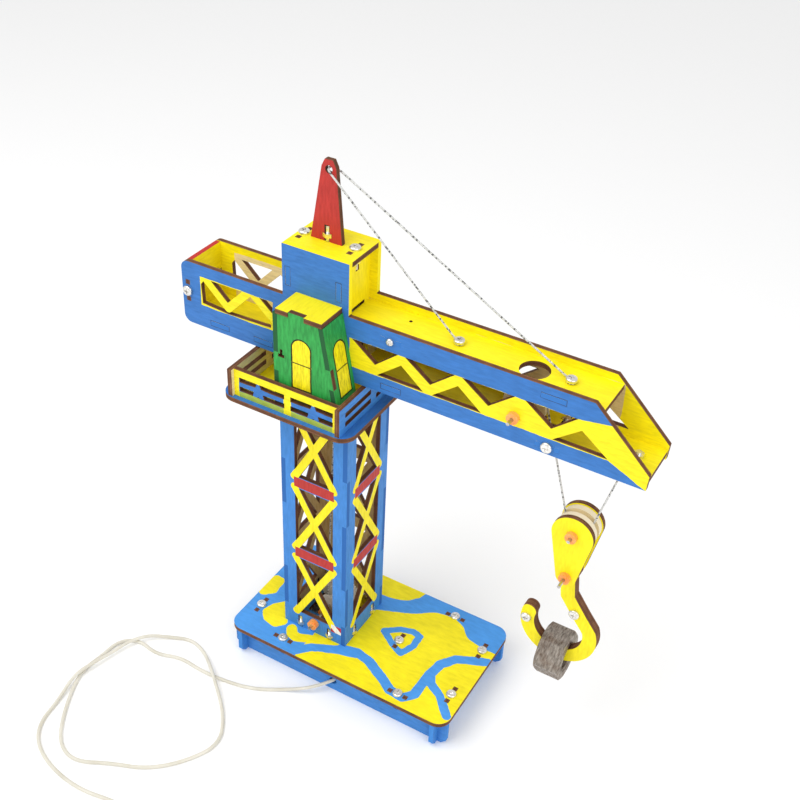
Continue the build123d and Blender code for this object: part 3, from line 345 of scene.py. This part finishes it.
def makeStudio():
    bpy.ops.object.select_all(action="DESELECT")
    bpy.ops.mesh.primitive_plane_add(size=studio["floorSize"], location=(0, 0, 0))
    floor = bpy.context.object
    floor.name = "floor"
    mat, tree, shader = newMaterial("floorPaper", 0.9)
    shader.inputs["Base Color"].default_value = paint(studio["floorColor"])
    shader.inputs["Specular IOR Level"].default_value = 0.1
    floor.data.materials.append(mat)
    world = bpy.data.worlds.new("studio")
    world.use_nodes = True
    world.node_tree.nodes["Background"].inputs[0].default_value = (1.0, 1.0, 1.0, 1.0)
    world.node_tree.nodes["Background"].inputs[1].default_value = studio["world"]
    bpy.context.scene.world = world
    for name, place, power, size in (("keyLight", (-0.35, -0.55, 1.15), studio["keyPower"],
                                      studio["keySize"]),
                                     ("fillLight", (0.95, -0.5, 0.7), studio["fillPower"], 0.8)):
        data = bpy.data.lights.new(name, "AREA")
        data.energy, data.size = power, size
        light = bpy.data.objects.new(name, data)
        light.location = place
        light.rotation_euler = (Vector((0.02, 0, 0.12)) - Vector(place)).to_track_quat("-Z", "Y").to_euler()
        bpy.context.scene.collection.objects.link(light)


makeStudio()
print("camera and studio ready")


# Cords.
def makeCord(name, places, radius, mat, resolution=6):
    data = bpy.data.curves.new(name, "CURVE")
    data.dimensions = "3D"
    spline = data.splines.new("NURBS")
    spline.points.add(len(places) - 1)
    for held, place in zip(spline.points, places):
        held.co = (*(v * mm for v in place), 1.0)
    spline.order_u = 3
    spline.use_endpoint_u = True
    data.resolution_u = resolution
    data.bevel_depth = radius * mm
    data.bevel_resolution = 3
    data.use_fill_caps = True
    data.materials.append(mat)
    made = bpy.data.objects.new(name, data)
    bpy.context.scene.collection.objects.link(made)
    return made


def turnsRound(centre, first, step, count, radius, height):
    # points round a post, from the first angle on
    places = []
    for k in range(count):
        angle = math.radians(first + step * k)
        places.append((centre[0] + radius * math.cos(angle), centre[1] + radius * math.sin(angle), height))
    return places


def centreOf(cordObject):
    # the points of a cord's own line, read from its spline
    depth, caps = cordObject.data.bevel_depth, cordObject.data.use_fill_caps
    cordObject.data.bevel_depth, cordObject.data.use_fill_caps = 0.0, False
    line = bpy.data.meshes.new_from_object(cordObject)
    places = [tuple(v.co) for v in line.vertices]
    bpy.data.meshes.remove(line)
    cordObject.data.bevel_depth, cordObject.data.use_fill_caps = depth, caps
    return places


def ropeMaterial():
    mat, tree, shader = newMaterial("ropeBraid", 0.8)
    point = add(tree, "ShaderNodeTexCoord").outputs["Object"]
    flecks = add(tree, "ShaderNodeTexVoronoi", {"Vector": point, "Scale": 620.0}).outputs["Distance"]
    strands = noise(tree, point, 1500.0, 2.0)
    isFleck = calc(tree, "LESS_THAN", flecks, 0.36)
    threads = mixColor(tree, spread(tree, strands, 0.3, 0.7), paint("#A9A9A6"), paint("#E4E4E1"))
    tree.links.new(mixColor(tree, calc(tree, "MULTIPLY", isFleck, 0.85), threads, paint("#3A3A3C")),
                   shader.inputs["Base Color"])
    addBump(tree, shader, strands, 0.6, 0.0002)
    return mat


def cableMaterial():
    mat, tree, shader = newMaterial("cableJacket", 0.45)
    point = add(tree, "ShaderNodeTexCoord").outputs["Object"]
    dust = noise(tree, point, 60.0, 4.0)
    tree.links.new(mixColor(tree, spread(tree, dust, 0.35, 0.7), paint("#E2DED1"), paint("#CFCABA")),
                   shader.inputs["Base Color"])
    tree.links.new(spread(tree, dust, 0.3, 0.7, 0.38, 0.55), shader.inputs["Roughness"])
    addBump(tree, shader, noise(tree, point, 500.0, 2.0), 0.15, 0.0002)
    return mat


ropeBraid = ropeMaterial()
cableJacket = cableMaterial()

rope = {"radius": 0.55, "postRadius": 2.2, "tieHeight": 262.6, "near": 75.7, "far": 138.8, "anchor": 179.0,
        "anchorHeight": 228.3}

stayPlaces = turnsRound((rope["near"], 0), -180, 30, 10, rope["postRadius"], rope["tieHeight"])
stayPlaces += [(72.6, 2.1, 262.6), (68.4, 1.6, 266.8), (4.8, -3.1, 331.8), (1.0, -3.3, 335.6),
               (-4.4, -2.7, 339.8),
               (-4.4, 2.7, 339.8), (1.0, 3.3, 337.2), (5.7, 3.2, 334.6), (131.0, 2.0, 265.4),
               (135.6, 2.1, 262.7)]
stayPlaces += turnsRound((rope["far"], 0), 90, -30, 10, rope["postRadius"], rope["tieHeight"])
stayRope = makeCord("stayRope", stayPlaces, rope["radius"], ropeBraid, 8)
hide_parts("stay_rope")
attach(stayRope, "head")

mastRope = makeCord("hoistRopeMast", [(-4.7, 0, 32.3), (-3.61, 0, 74.5), (-1.2, 0, 167.4), (0, 0, 213.8)],
                    rope["radius"], ropeBraid)
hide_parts("hoist_rope_mast")
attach(mastRope, "base")

jibRope = makeCord("hoistRopeJib",
                   [(0, 0, 214.2), (0, 0, 243.5), (0, 0, 256.4), (13, 0, 256.7), (109.45, 0, 252.87),
                                    (125.31, 0, 252.31), (129.79, 0, 237.09), (132.08, 0, 229.3)],
                   rope["radius"], ropeBraid, 12)
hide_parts("hoist_rope_jib")
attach(jibRope, "head")

fallPlaces = [(132.17, 0, 229.0), (136.4, 0, 214.6), (144.9, 0, 185.7), (149.15, 0, 171.28),
              (150.46, 0, 166.82),
              (159.76, 0, 166.99), (160.91, 0, 171.49), (163.4, 0, 181.7), (172.1, 0, 216.9),
              (173.8, 0, 223.5),
              (175.2, -1.0, 228.0)]
fallPlaces += turnsRound((rope["anchor"], 0), 210, 30, 10, rope["postRadius"], rope["anchorHeight"])
fallGuide = makeCord("fallGuide", fallPlaces, rope["radius"], ropeBraid, 12)
fallPath = centreOf(fallGuide)
falls = bpy.data.objects.new("hoistRopeFalls", bpy.data.meshes.new_from_object(fallGuide))
falls.data.name = "hoistRopeFalls"
bpy.context.scene.collection.objects.link(falls)
bpy.data.objects.remove(fallGuide)
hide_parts("hoist_rope_falls", "block_rope_loop")
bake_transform(falls)

cable = {"radius": 1.1, "floor": 1.15, "over": 4.1, "coilCentre": (-3.0, -193.0), "coilOut": 15.05,
         "coilIn": 12.8,
         "coilTop": 3.35}
f, o = cable["floor"], cable["over"]
cablePlaces = [
    (6, 28, 15), (17, 28, 15), (27, 18, 11), (31.5, 0, 8), (31, -20, 8), (26.4, -37, 8), (14.5, -50, 5),
    (-1, -57.5, f), (-18, -67.5, f), (-36, -71.5, f), (-56, -73, f), (-73, -71, f), (-89, -77.5, f),
    (-106, -73.5, f), (-117, -82, f), (-117.5, -97, f), (-120, -112, f), (-115, -127, f), (-104, -148, f),
    (-92, -163.5, f), (-76, -168.5, f), (-57, -158, f), (-36, -150, f), (-20, -134, f), (-9.5, -113, f),
    (-21, -93.5, f), (-41, -76.5, o), (-51, -68.5, o), (-63.5, -59, f), (-77, -55, f), (-90.5, -61, f),
    (-101.5, -69, o), (-109, -80, o), (-112.5, -92, 2.8), (-115.4, -103.5, o), (-119.8, -120, o),
    (-115.5, -140, f), (-113.5, -157, f), (-104, -170, f), (-85, -178.5, f), (-60, -181.5, f),
    (-36, -176.5, f),
    (-18, -176.95, f)]
# the coil: twelve points a turn, two turns side by side and the last ones on top
ringOut, ringIn, ringTop = cable["coilOut"], cable["coilIn"], cable["coilTop"]
coilRadii = [ringOut] * 9 + [15.0, 14.2, 13.3] + [ringIn] * 9 + [12.5] + [ringIn] * 9 + [13.5,
                                                                                         14.8] + [ringOut] * 6
coilHeights = [f] * 20 + [1.7, 2.6] + [ringTop] * 20
for k in range(39):
    angle = math.radians(90 - 30 * k)
    cablePlaces.append((cable["coilCentre"][0] + coilRadii[k] * math.cos(angle),
                        cable["coilCentre"][1] + coilRadii[k] * math.sin(angle), coilHeights[k]))
cablePlaces += [(11.9, -194.2, 3.5), (13.0, -198.3, 3.9), (17.0, -199, 4.0), (21.6, -199, 4.05)]
powerCable = makeCord("powerCable", cablePlaces, cable["radius"], cableJacket, 6)
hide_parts("power_cable", "power_cable_coil")
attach(powerCable, "base")

print("cords laid")

# Deck.
deckStrokes = {
    "band": (3.3, ((-2, -42), (5, -34.8), (20, -26.5), (32, -22.7), (42.5, -24.9), (55.7, -32), (65.5, -38),
                   (75, -39.2), (80, -33), (80.3, -14.3), (82.2, -3), (88.8, 6), (106.6, 14))),
    "bandWide": (4.2, ((14, -29.5), (20, -26.8), (32, -23.6))),
    "branch": (2.8, ((81, -14), (84.5, -20), (93.8, -25.6), (105, -37.3))),
    "ring": (2.4, ((37.5, 2.5), (46, 9), (54, 11.8), (59.5, 10), (60, 1), (56, -8.5), (48, -5), (37.5, 2.5)))}
deckYellow = {
    "wedge": (3.4, ((-49, -10), (-49, 4), (-46, 3.5), (-45, -6), (-49, -10))),
    "patch": (3.4,
              ((-36.5, -24), (-33, -28), (-26, -29.3), (-23.5, -26), (-30, -13), (-34.5, -18), (-36.5, -24))),
    "patchFill": (5.0, ((-31, -24), (-30, -18))),
    "strip": (3.6, ((-14.5, -28), (-12, -31.5), (-8, -32.5), (4, -28), (16, -22)))}


def deckColor(tree, point):
    x, y, z = axesOf(tree, point)
    blueLine = strokeMask(tree, point, deckStrokes.values())
    leftEnd = calc(tree, "LESS_THAN", x, 0.0)
    above = calc(tree, "GREATER_THAN", y, curveOver(
        tree, x,
        ((16, 13), (24, 16.3), (44.5, 25), (62.4, 35.6), (75.6, 34.9), (87.6, 25.8), (96.5, 23.8), (108, 23)),
        (16, 108), (0, 50)))
    below = calc(tree, "LESS_THAN", y, curveOver(
        tree, x, ((16, 29.5), (33, 32.3), (42.5, 40.6), (46.5, 50), (108, 50)), (16, 108), (0, 50)))
    right = calc(tree, "GREATER_THAN", x, 0.016)
    backArea = calc(tree, "MULTIPLY", right, calc(tree, "MULTIPLY", above, below))
    blueMask = union(tree, blueLine, leftEnd, backArea)
    yellowMask = strokeMask(tree, point, deckYellow.values())
    blueMask = calc(tree, "MULTIPLY", blueMask, calc(tree, "SUBTRACT", 1.0, yellowMask))
    return mixColor(tree, blueMask, colors["yellow"], colors["deckBlue"])


dress("base_deck", boardMaterial("deckPaint", (0, 0, 1), 0.020, deckColor, "bare", (120, 420, 420), 0.12, 0.2,
                                 wobble=0.0016))

# Skirt of the base.
def belowDeckTop(tree, point):
    # the ends of the tabs that show in the deck stay brown
    return calc(tree, "LESS_THAN", axesOf(tree, point)[2], 0.0226)


for node, across, start in (("base_front_panel", (0, -1, 0), 0.0365), ("base_back_panel", (0, 1, 0), 0.0365),
                            ("base_left_panel", (-1, 0, 0), 0.042), ("base_right_panel", (1, 0, 0), 0.098)):
    grain = (160, 700, 700) if across[0] == 0 else (700, 160, 700)
    dress(node, boardMaterial(node + "Paint", across, start, colors["blue"], colors["blue"], grain, 0.16, 0.3,
                              colors["blue"], belowDeckTop))
for node, across, start in (("base_cross_rib", (1, 0, 0), 0.0485), ("motor_rib", (1, 0, 0), -0.0015)):
    mat = boardMaterial(node + "Wood", across, start, colors["lightWood"], colors["lightWood"],
                        (700, 130, 700), 0.12)
    dress(node, mat)


# Mast.
mastPlan = {"deckTop": 23.0, "firstWindow": 12.9, "windowPitch": 56.5, "windowHigh": 48.0, "windowHalf": 13.5,
            "braceHalf": 2.6, "overshoot": 0.3, "barHigh": 7.8, "cornerFrom": 22.8}


def mastColor(alongX):
    def colorAt(tree, point):
        x, y, z = axesOf(tree, point)
        side = x if alongX else y
        flat = add(tree, "ShaderNodeCombineXYZ", {0: side, 1: z}).outputs[0]
        reach = mastPlan["windowHalf"] + mastPlan["overshoot"]
        inColumn = calc(tree, "LESS_THAN", calc(tree, "ABSOLUTE", side), (mastPlan["windowHalf"] + 0.5) * mm)
        braces, bars = [], []
        for row in range(3):
            low = mastPlan["deckTop"] + mastPlan["firstWindow"] + row * mastPlan["windowPitch"]
            high = low + mastPlan["windowHigh"]
            over = mastPlan["overshoot"]
            braces += [(mastPlan["braceHalf"], ((-reach, low - over), (reach, high + over))),
                       (mastPlan["braceHalf"], ((-reach, high + over), (reach, low - over)))]
            if row:
                bars.append(between(tree, z, (low - mastPlan["barHigh"]) * mm, (low - 0.4) * mm))
        color = mixColor(tree, strokeMask(tree, flat, braces), colors["blue"], colors["yellow"])
        barMask = calc(tree, "MULTIPLY", inColumn, union(tree, *bars))
        return mixColor(tree, barMask, color, colors["red"])
    return colorAt


def mastCorner(tree, point):
    x, y, z = axesOf(tree, point)
    out = calc(tree, "MAXIMUM", calc(tree, "ABSOLUTE", x), calc(tree, "ABSOLUTE", y))
    return calc(tree, "GREATER_THAN", out, mastPlan["cornerFrom"] * mm)


def mastFrontColor(tree, point):
    # the front carries a small red and white patch at its foot
    x, y, z = axesOf(tree, point)
    color = mastColor(True)(tree, point)
    patch = calc(tree, "MULTIPLY", between(tree, x, 0.0125, 0.0216), between(tree, z, 0.0315, 0.038))
    stripe = between(tree, calc(tree, "ADD", x, z), 0.0475, 0.0535)
    patchColor = mixColor(tree, stripe, paint("#C3262C"), paint("#F4F2EE"))
    return mixColor(tree, patch, color, patchColor)


for node, across, start, alongX in (("mast_front_panel", (0, -1, 0), 0.020, True),
                                    ("mast_back_panel", (0, 1, 0), 0.020, True),
                                    ("mast_left_panel", (-1, 0, 0), 0.020, False),
                                    ("mast_right_panel", (1, 0, 0), 0.020, False)):
    front = mastFrontColor if node == "mast_front_panel" else mastColor(alongX)
    dress(node, boardMaterial(node + "Paint", across, start, front, "bare", (700, 700, 130), 0.15, 0.4,
                              colors["shadeBlue"], mastCorner, 0.0009))
dress("mast_top_plate", boardMaterial("mastTopWood", (0, 0, 1), 0.2, colors["blue"], "bare", (200, 700, 700)))


# Slewing head: platform and railing.
railPlan = {"topFrom": 220.3, "bottomTo": 211.2, "leftPost": -38.0, "rightPost": 23.6,
            "middlePost": (-8.2, -3.2),
            "insideX": (-42.7, 27.7), "insideY": 37.0}


def platformColor(tree, point):
    x, y, z = axesOf(tree, point)
    inside = calc(tree, "MULTIPLY",
                  between(tree, x, railPlan["insideX"][0] * mm, railPlan["insideX"][1] * mm),
                  between(tree, y, -railPlan["insideY"] * mm, railPlan["insideY"] * mm))
    return mixColor(tree, inside, colors["jibBlue"], colors["yellow"])


def railColor(tree, point):
    x, y, z = axesOf(tree, point)
    bottom = calc(tree, "LESS_THAN", z, railPlan["bottomTo"] * mm)
    color = mixColor(tree, bottom, colors["jibBlue"], paint("#A9BC48"))
    low, high = railPlan["middlePost"]
    yellow = union(tree, calc(tree, "GREATER_THAN", z, railPlan["topFrom"] * mm),
                   calc(tree, "LESS_THAN", x, railPlan["leftPost"] * mm),
                   calc(tree, "GREATER_THAN", x, railPlan["rightPost"] * mm),
                   between(tree, x, low * mm, high * mm))
    return mixColor(tree, yellow, color, colors["yellow"])


def sideRailColor(outerIsRight):
    # each side rail is blue outside and left cream inside
    def colorAt(tree, point):
        right = calc(tree, "GREATER_THAN", axesOf(tree, point)[0], 0.0)
        pair = (colors["lightWood"], colors["blue"])
        return mixColor(tree, right, *(pair if outerIsRight else pair[::-1]))
    return colorAt


dress("slew_platform",
      boardMaterial("platformPaint", (0, 0, 1), 0.2045, platformColor, "bare", (700, 160, 700),
                                     0.16, 0.3))
for node, across, start in (("railing_front", (0, -1, 0), 0.0369), ("railing_back", (0, 1, 0), 0.0369)):
    dress(node, boardMaterial(node + "Paint", across, start, railColor, "bare", (160, 700, 700), 0.2, 0.3))
dress("railing_sides",
      boardMaterial("sideRailPaint", (1, 0, 0), 0.0, sideRailColor(True), sideRailColor(False),
                                     (700, 160, 700), 0.18, 0.25))


# Cabin.
cabinPlan = {"frontWindow": (0.9, 6.4, 224.0, 256.6), "rightWindow": (-24.65, 5.85, 223.7, 256.2),
             "frontFoot": 209.2,
             "rightFoot": 214.5}


def archMask(tree, u, z, middle, half, low, high):
    # an arched window: a rectangle with a half-round top
    springing = high - half
    du = calc(tree, "SUBTRACT", u, middle * mm)
    body = calc(tree, "MULTIPLY", between(tree, du, -half * mm, half * mm),
                between(tree, z, low * mm, springing * mm))
    dz = calc(tree, "MAXIMUM", calc(tree, "SUBTRACT", z, springing * mm), 0.0)
    reach = calc(tree, "SQRT",
                 calc(tree, "ADD", calc(tree, "MULTIPLY", du, du), calc(tree, "MULTIPLY", dz, dz)))
    crown = calc(tree, "MULTIPLY", calc(tree, "LESS_THAN", reach, half * mm),
                 calc(tree, "GREATER_THAN", z, springing * mm))
    return union(tree, body, crown)


def windowColor(tree, color, u, z, arch):
    middle, half, low, high = arch
    outer = archMask(tree, u, z, middle, half + 0.15, low - 0.15, high + 0.15)
    inner = archMask(tree, u, z, middle, half - 0.75, low + 0.75, high - 0.75)
    barLow = low + 0.5 * (high - low)
    bar = calc(tree, "MULTIPLY", outer, between(tree, z, (barLow - 0.1) * mm, (barLow + 0.7) * mm))
    color = mixColor(tree, outer, color, paint("#2E3A1C"))
    color = mixColor(tree, inner, color, colors["yellow"])
    return mixColor(tree, bar, color, paint("#7D7A1C"))


def cabinFrontColor(tree, point):
    x, y, z = axesOf(tree, point)
    color = windowColor(tree, colors["green"], x, z, cabinPlan["frontWindow"])
    foot = calc(tree, "LESS_THAN", z, cabinPlan["frontFoot"] * mm)
    return mixColor(tree, foot, color, paint("#9CC23A"))


def cabinRightColor(tree, point):
    x, y, z = axesOf(tree, point)
    color = windowColor(tree, colors["green"], y, z, cabinPlan["rightWindow"])
    foot = calc(tree, "LESS_THAN", z, cabinPlan["rightFoot"] * mm)
    return mixColor(tree, foot, color, colors["lightWood"])


dress("cabin_front",
      boardMaterial("cabinFrontPaint", (0, -1, 0), 0.0325, cabinFrontColor, "bare", (700, 700, 140),
                                   0.38, 0.5, wobble=0.0005))
dress("cabin_right", boardMaterial("cabinRightPaint", (0.9825, 0, 0.1862), 0.0, cabinRightColor, "bare",
                                   (700, 700, 140), 0.38, 0.5, colors["darkGreen"], wobble=0.0005))
dress("cabin_left",
      boardMaterial("cabinLeftPaint", (-1, 0, 0), 0.014, colors["green"], "bare", (700, 700, 140),
                                  0.38, 0.5, colors["darkGreen"]))
dress("cabin_roof",
      boardMaterial("cabinRoofPaint", (0, 0, 1), 0.268, colors["yellow"], "bare", (700, 150, 700),
                                  0.1, 0.35))


# Jib and house.
jibPlan = {"bandStart": 0.1685, "tipX": 0.190, "bandTop": 0.236, "tipZ": 0.2261, "highFrom": 0.150,
           "highTo": 0.172,
           "highZ": (0.2540, 0.2575), "house": (-0.030, 0.0188), "tailLow": 0.2405, "tailHigh": 0.2592,
           "tailEnds": (-0.0805, -0.0312), "lineShade": 0.75, "houseEdgeZ": 0.2672,
           "houseEdgeX": (-0.040, 0.030),
           "flushY": 0.0158, "innerTip": 0.163, "innerTop": 0.262, "innerTail": -0.078, "woodTo": 0.018,
           "redFrom": 0.2606}
slotPlan = {
    "line": 0.35,
    "boxes": ((129.8, 143.4, 259.0, 262.0), (39.0, 50.8, 229.0, 232.0), (-74.7, -62.0, 229.0, 232.0),
              (-44.4, -32.1, 229.0, 232.0), (10.1, 13.1, 273.6, 284.6), (-21.9, -18.9, 273.6, 284.6))}


def slotLines(tree, x, z):
    # the thin dark joint round each tab that ends flush in the panel
    lines = []
    for x0, x1, z0, z1 in slotPlan["boxes"]:
        w = slotPlan["line"]
        outer = calc(tree, "MULTIPLY", between(tree, x, (x0 - w) * mm, (x1 + w) * mm),
                     between(tree, z, (z0 - w) * mm, (z1 + w) * mm))
        inner = calc(tree, "MULTIPLY", between(tree, x, x0 * mm, x1 * mm), between(tree, z, z0 * mm, z1 * mm))
        lines.append(calc(tree, "SUBTRACT", outer, inner))
    return union(tree, *lines)


def jibColor(tree, point):
    x, y, z = axesOf(tree, point)
    plan = jibPlan
    lowLine = spread(tree, x, plan["bandStart"], plan["tipX"], plan["bandTop"], plan["tipZ"])
    lowLine = calc(tree, "MINIMUM", lowLine, plan["bandTop"] + 0.0002)
    lowBand = calc(tree, "LESS_THAN", z, lowLine)
    highBand = calc(tree, "GREATER_THAN", z,
                    spread(tree, x, plan["highFrom"], plan["highTo"], *plan["highZ"]))
    beam = union(tree, lowBand, highBand)
    house = between(tree, x, *plan["house"])
    tail = calc(tree, "LESS_THAN", x, plan["house"][0])
    tailLeft, tailRight = plan["tailEnds"]
    tailBand = union(tree, calc(tree, "LESS_THAN", z, plan["tailLow"]),
                     calc(tree, "GREATER_THAN", z, plan["tailHigh"]),
                     calc(tree, "LESS_THAN", x, tailLeft), calc(tree, "GREATER_THAN", x, tailRight))
    beam = mixColor(tree, tail, beam, tailBand)
    blueMask = union(tree, beam, house)
    color = mixColor(tree, blueMask, colors["yellow"], colors["jibBlue"])
    return mixColor(tree, calc(tree, "MULTIPLY", slotLines(tree, x, z), plan["lineShade"]), color,
                    paint("#2A2620"))


def houseEdge(tree, point):
    # the top and the right end of the house side are painted over
    x, y, z = axesOf(tree, point)
    high = calc(tree, "GREATER_THAN", z, jibPlan["houseEdgeZ"])
    return calc(tree, "MULTIPLY", high, between(tree, x, *jibPlan["houseEdgeX"]))


def flushEnd(tree, point):
    away = calc(tree, "ABSOLUTE", axesOf(tree, point)[1])
    return calc(tree, "GREATER_THAN", away, jibPlan["flushY"])


def jibInsideColor(tree, point):
    # the inner faces are nearly bare, with yellow at the tip, the tail and the top
    x, y, z = axesOf(tree, point)
    painted = union(tree, calc(tree, "GREATER_THAN", x, jibPlan["innerTip"]),
                    calc(tree, "GREATER_THAN", z, jibPlan["innerTop"]),
                    calc(tree, "LESS_THAN", x, jibPlan["innerTail"]))
    pastHouse = calc(tree, "GREATER_THAN", x, jibPlan["woodTo"])
    bare = mixColor(tree, pastHouse, colors["lightWood"], colors["innerLight"])
    return mixColor(tree, painted, bare, colors["yellow"])


for node, across in (("jib_front_panel", (0, -1, 0)), ("jib_back_panel", (0, 1, 0))):
    dress(node,
          boardMaterial(node + "Paint", across, 0.013, jibColor, jibInsideColor, (130, 700, 700), 0.16, 0.25,
                              colors["yellow"], houseEdge, 0.0011))
dress("jib_top_plate",
      boardMaterial("jibTopPaint", (0, 0, 1), 0.259, colors["yellow"], "bare", (130, 700, 700), 0.1,
                                     0.4, colors["jibBlue"], flushEnd))
dress("jib_bottom_plate",
      boardMaterial("jibBottomPaint", (0, 0, 1), 0.229, colors["yellow"], "bare", (130, 700, 700),
                                        0.12, 0.4, colors["jibBlue"], flushEnd))
dress("counterjib_bottom_plate", boardMaterial("tailBottomPaint", (0, 0, 1), 0.229, colors["yellow"], "bare",
                                               (130, 700, 700), 0.12, 0.4, colors["jibBlue"], flushEnd))


def endPlateColor(tree, point):
    x, y, z = axesOf(tree, point)
    return mixColor(tree, calc(tree, "GREATER_THAN", z, jibPlan["redFrom"]), colors["blue"], colors["red"])


def endPlateTop(tree, point):
    return calc(tree, "GREATER_THAN", axesOf(tree, point)[2], jibPlan["redFrom"])


dress("counterjib_end_plate",
      boardMaterial("endPlatePaint", (-1, 0, 0), 0.0881, endPlateColor, colors["yellow"],
                                            (700, 160, 700), 0.15, 0.4, colors["red"], endPlateTop))
for node, across, start in (("house_left_wall", (-1, 0, 0), 0.0189), ("house_right_wall", (1, 0, 0), 0.0101)):
    dress(node,
          boardMaterial(node + "Paint", across, start, colors["yellow"], "bare", (700, 700, 140), 0.12, 0.4,
                              colors["jibBlue"], flushEnd))
dress("house_roof",
      boardMaterial("houseRoofPaint", (0, 0, 1), 0.2949, colors["yellow"], "bare", (150, 700, 700),
                                  0.1, 0.4))
dress("peak",
      boardMaterial("peakPaint", (0, -1, 0), -0.0015, colors["red"], colors["red"], (700, 700, 130), 0.2,
                            0.5))

# Block and hook.
dress("block_cheeks", boardMaterial("cheekPaint", (0, -1, 0), 0.0045, colors["yellow"], colors["yellow"],
                                    (700, 700, 150), 0.1, 0.3))
dress("hook_layers", boardMaterial("hookPaint", (0, -1, 0), 0.0, colors["yellow"], colors["yellow"],
                                   (700, 700, 150), 0.12, 0.25))
for node in ("head_sheave", "jib_pulley", "block_pulley"):
    dress(node, boardMaterial(node + "Wood", (0, -1, 0), -0.004, colors["lightWood"], colors["lightWood"],
                              (200, 700, 700), 0.1, 0.0, paint("#EADFC4")))


# Hardware.
def metalMaterial(name, light, dark, roughness, scale, bump=0.2):
    mat, tree, shader = newMaterial(name, roughness, 1.0)
    point = add(tree, "ShaderNodeTexCoord").outputs["Object"]
    mottle = noise(tree, point, scale, 5.0, 0.65)
    tree.links.new(mixColor(tree, spread(tree, mottle, 0.35, 0.65), dark, light), shader.inputs["Base Color"])
    tree.links.new(spread(tree, mottle, 0.3, 0.7, roughness + 0.15, roughness - 0.08),
                   shader.inputs["Roughness"])
    addBump(tree, shader, mottle, bump, 0.0002)
    return mat


def plasticMaterial(name, light, dark, roughness, scale, glow=0.0):
    mat, tree, shader = newMaterial(name, roughness)
    point = add(tree, "ShaderNodeTexCoord").outputs["Object"]
    mottle = noise(tree, point, scale, 3.0)
    tree.links.new(mixColor(tree, spread(tree, mottle, 0.35, 0.65), dark, light), shader.inputs["Base Color"])
    tree.links.new(spread(tree, mottle, 0.3, 0.7, roughness + 0.08, roughness - 0.05),
                   shader.inputs["Roughness"])
    if glow:
        shader.inputs["Subsurface Weight"].default_value = glow
        shader.inputs["Subsurface Radius"].default_value = (0.004, 0.0015, 0.0008)
        shader.inputs["Subsurface Scale"].default_value = 0.5
    addBump(tree, shader, mottle, 0.1, 0.0002)
    return mat


screwSteel = metalMaterial("screwSteel", paint("#FBF9F5"), paint("#CFCCC6"), 0.26, 300.0)
axleSteel = metalMaterial("axleSteel", paint("#E4E2DE"), paint("#A9A7A2"), 0.22, 200.0)
for node in ("base_fasteners", "head_fasteners", "hook_fasteners", "pivot_bolt", "pivot_nut_and_washer"):
    dress(node, screwSteel)
for node in ("winch_axle", "head_axles", "block_axles"):
    dress(node, axleSteel)
siliconeOrange = plasticMaterial("siliconeOrange", paint("#FFB068"), paint("#FF9442"), 0.35, 120.0, 0.5)
for node in ("winch_collars", "head_collars", "block_collars"):
    dress(node, siliconeOrange)
winchNylon = plasticMaterial("winchNylon", paint("#F3F1EA"), paint("#DAD6C9"), 0.42, 150.0)
for node in ("winch_drum", "winch_gear", "motor_pinion"):
    dress(node, winchNylon)
dress("gear_motor", plasticMaterial("motorYellow", paint("#F2C21C"), paint("#D9A90F"), 0.45, 150.0))
dress("power_plug", plasticMaterial("plugWhite", paint("#E9E6DC"), paint("#D6D2C4"), 0.4, 150.0))


def loadMaterial():
    # old steel: dark scale and brighter brushed streaks, with rust patches
    mat, tree, shader = newMaterial("loadSteel", 0.55, 0.75)
    point = add(tree, "ShaderNodeTexCoord").outputs["Object"]
    brushed = noise(tree, vectorCalc(tree, "MULTIPLY", point, (900, 260, 260)), 1.0, 5.0, 0.7)
    rust = noise(tree, point, 130.0, 4.0, 0.6)
    tone = mixColor(tree, spread(tree, brushed, 0.3, 0.7), paint("#5C5249"), paint("#B8AFA4"))
    tone = mixColor(tree, spread(tree, rust, 0.45, 0.75, 0.0, 0.7), tone, paint("#6A4C36"))
    tree.links.new(tone, shader.inputs["Base Color"])
    tree.links.new(spread(tree, brushed, 0.3, 0.7, 0.7, 0.4), shader.inputs["Roughness"])
    addBump(tree, shader, brushed, 0.5, 0.0003)
    return mat


dress("load_nut", loadMaterial())
print("materials on", len([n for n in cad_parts.values() if n.material_slots]), "nodes")
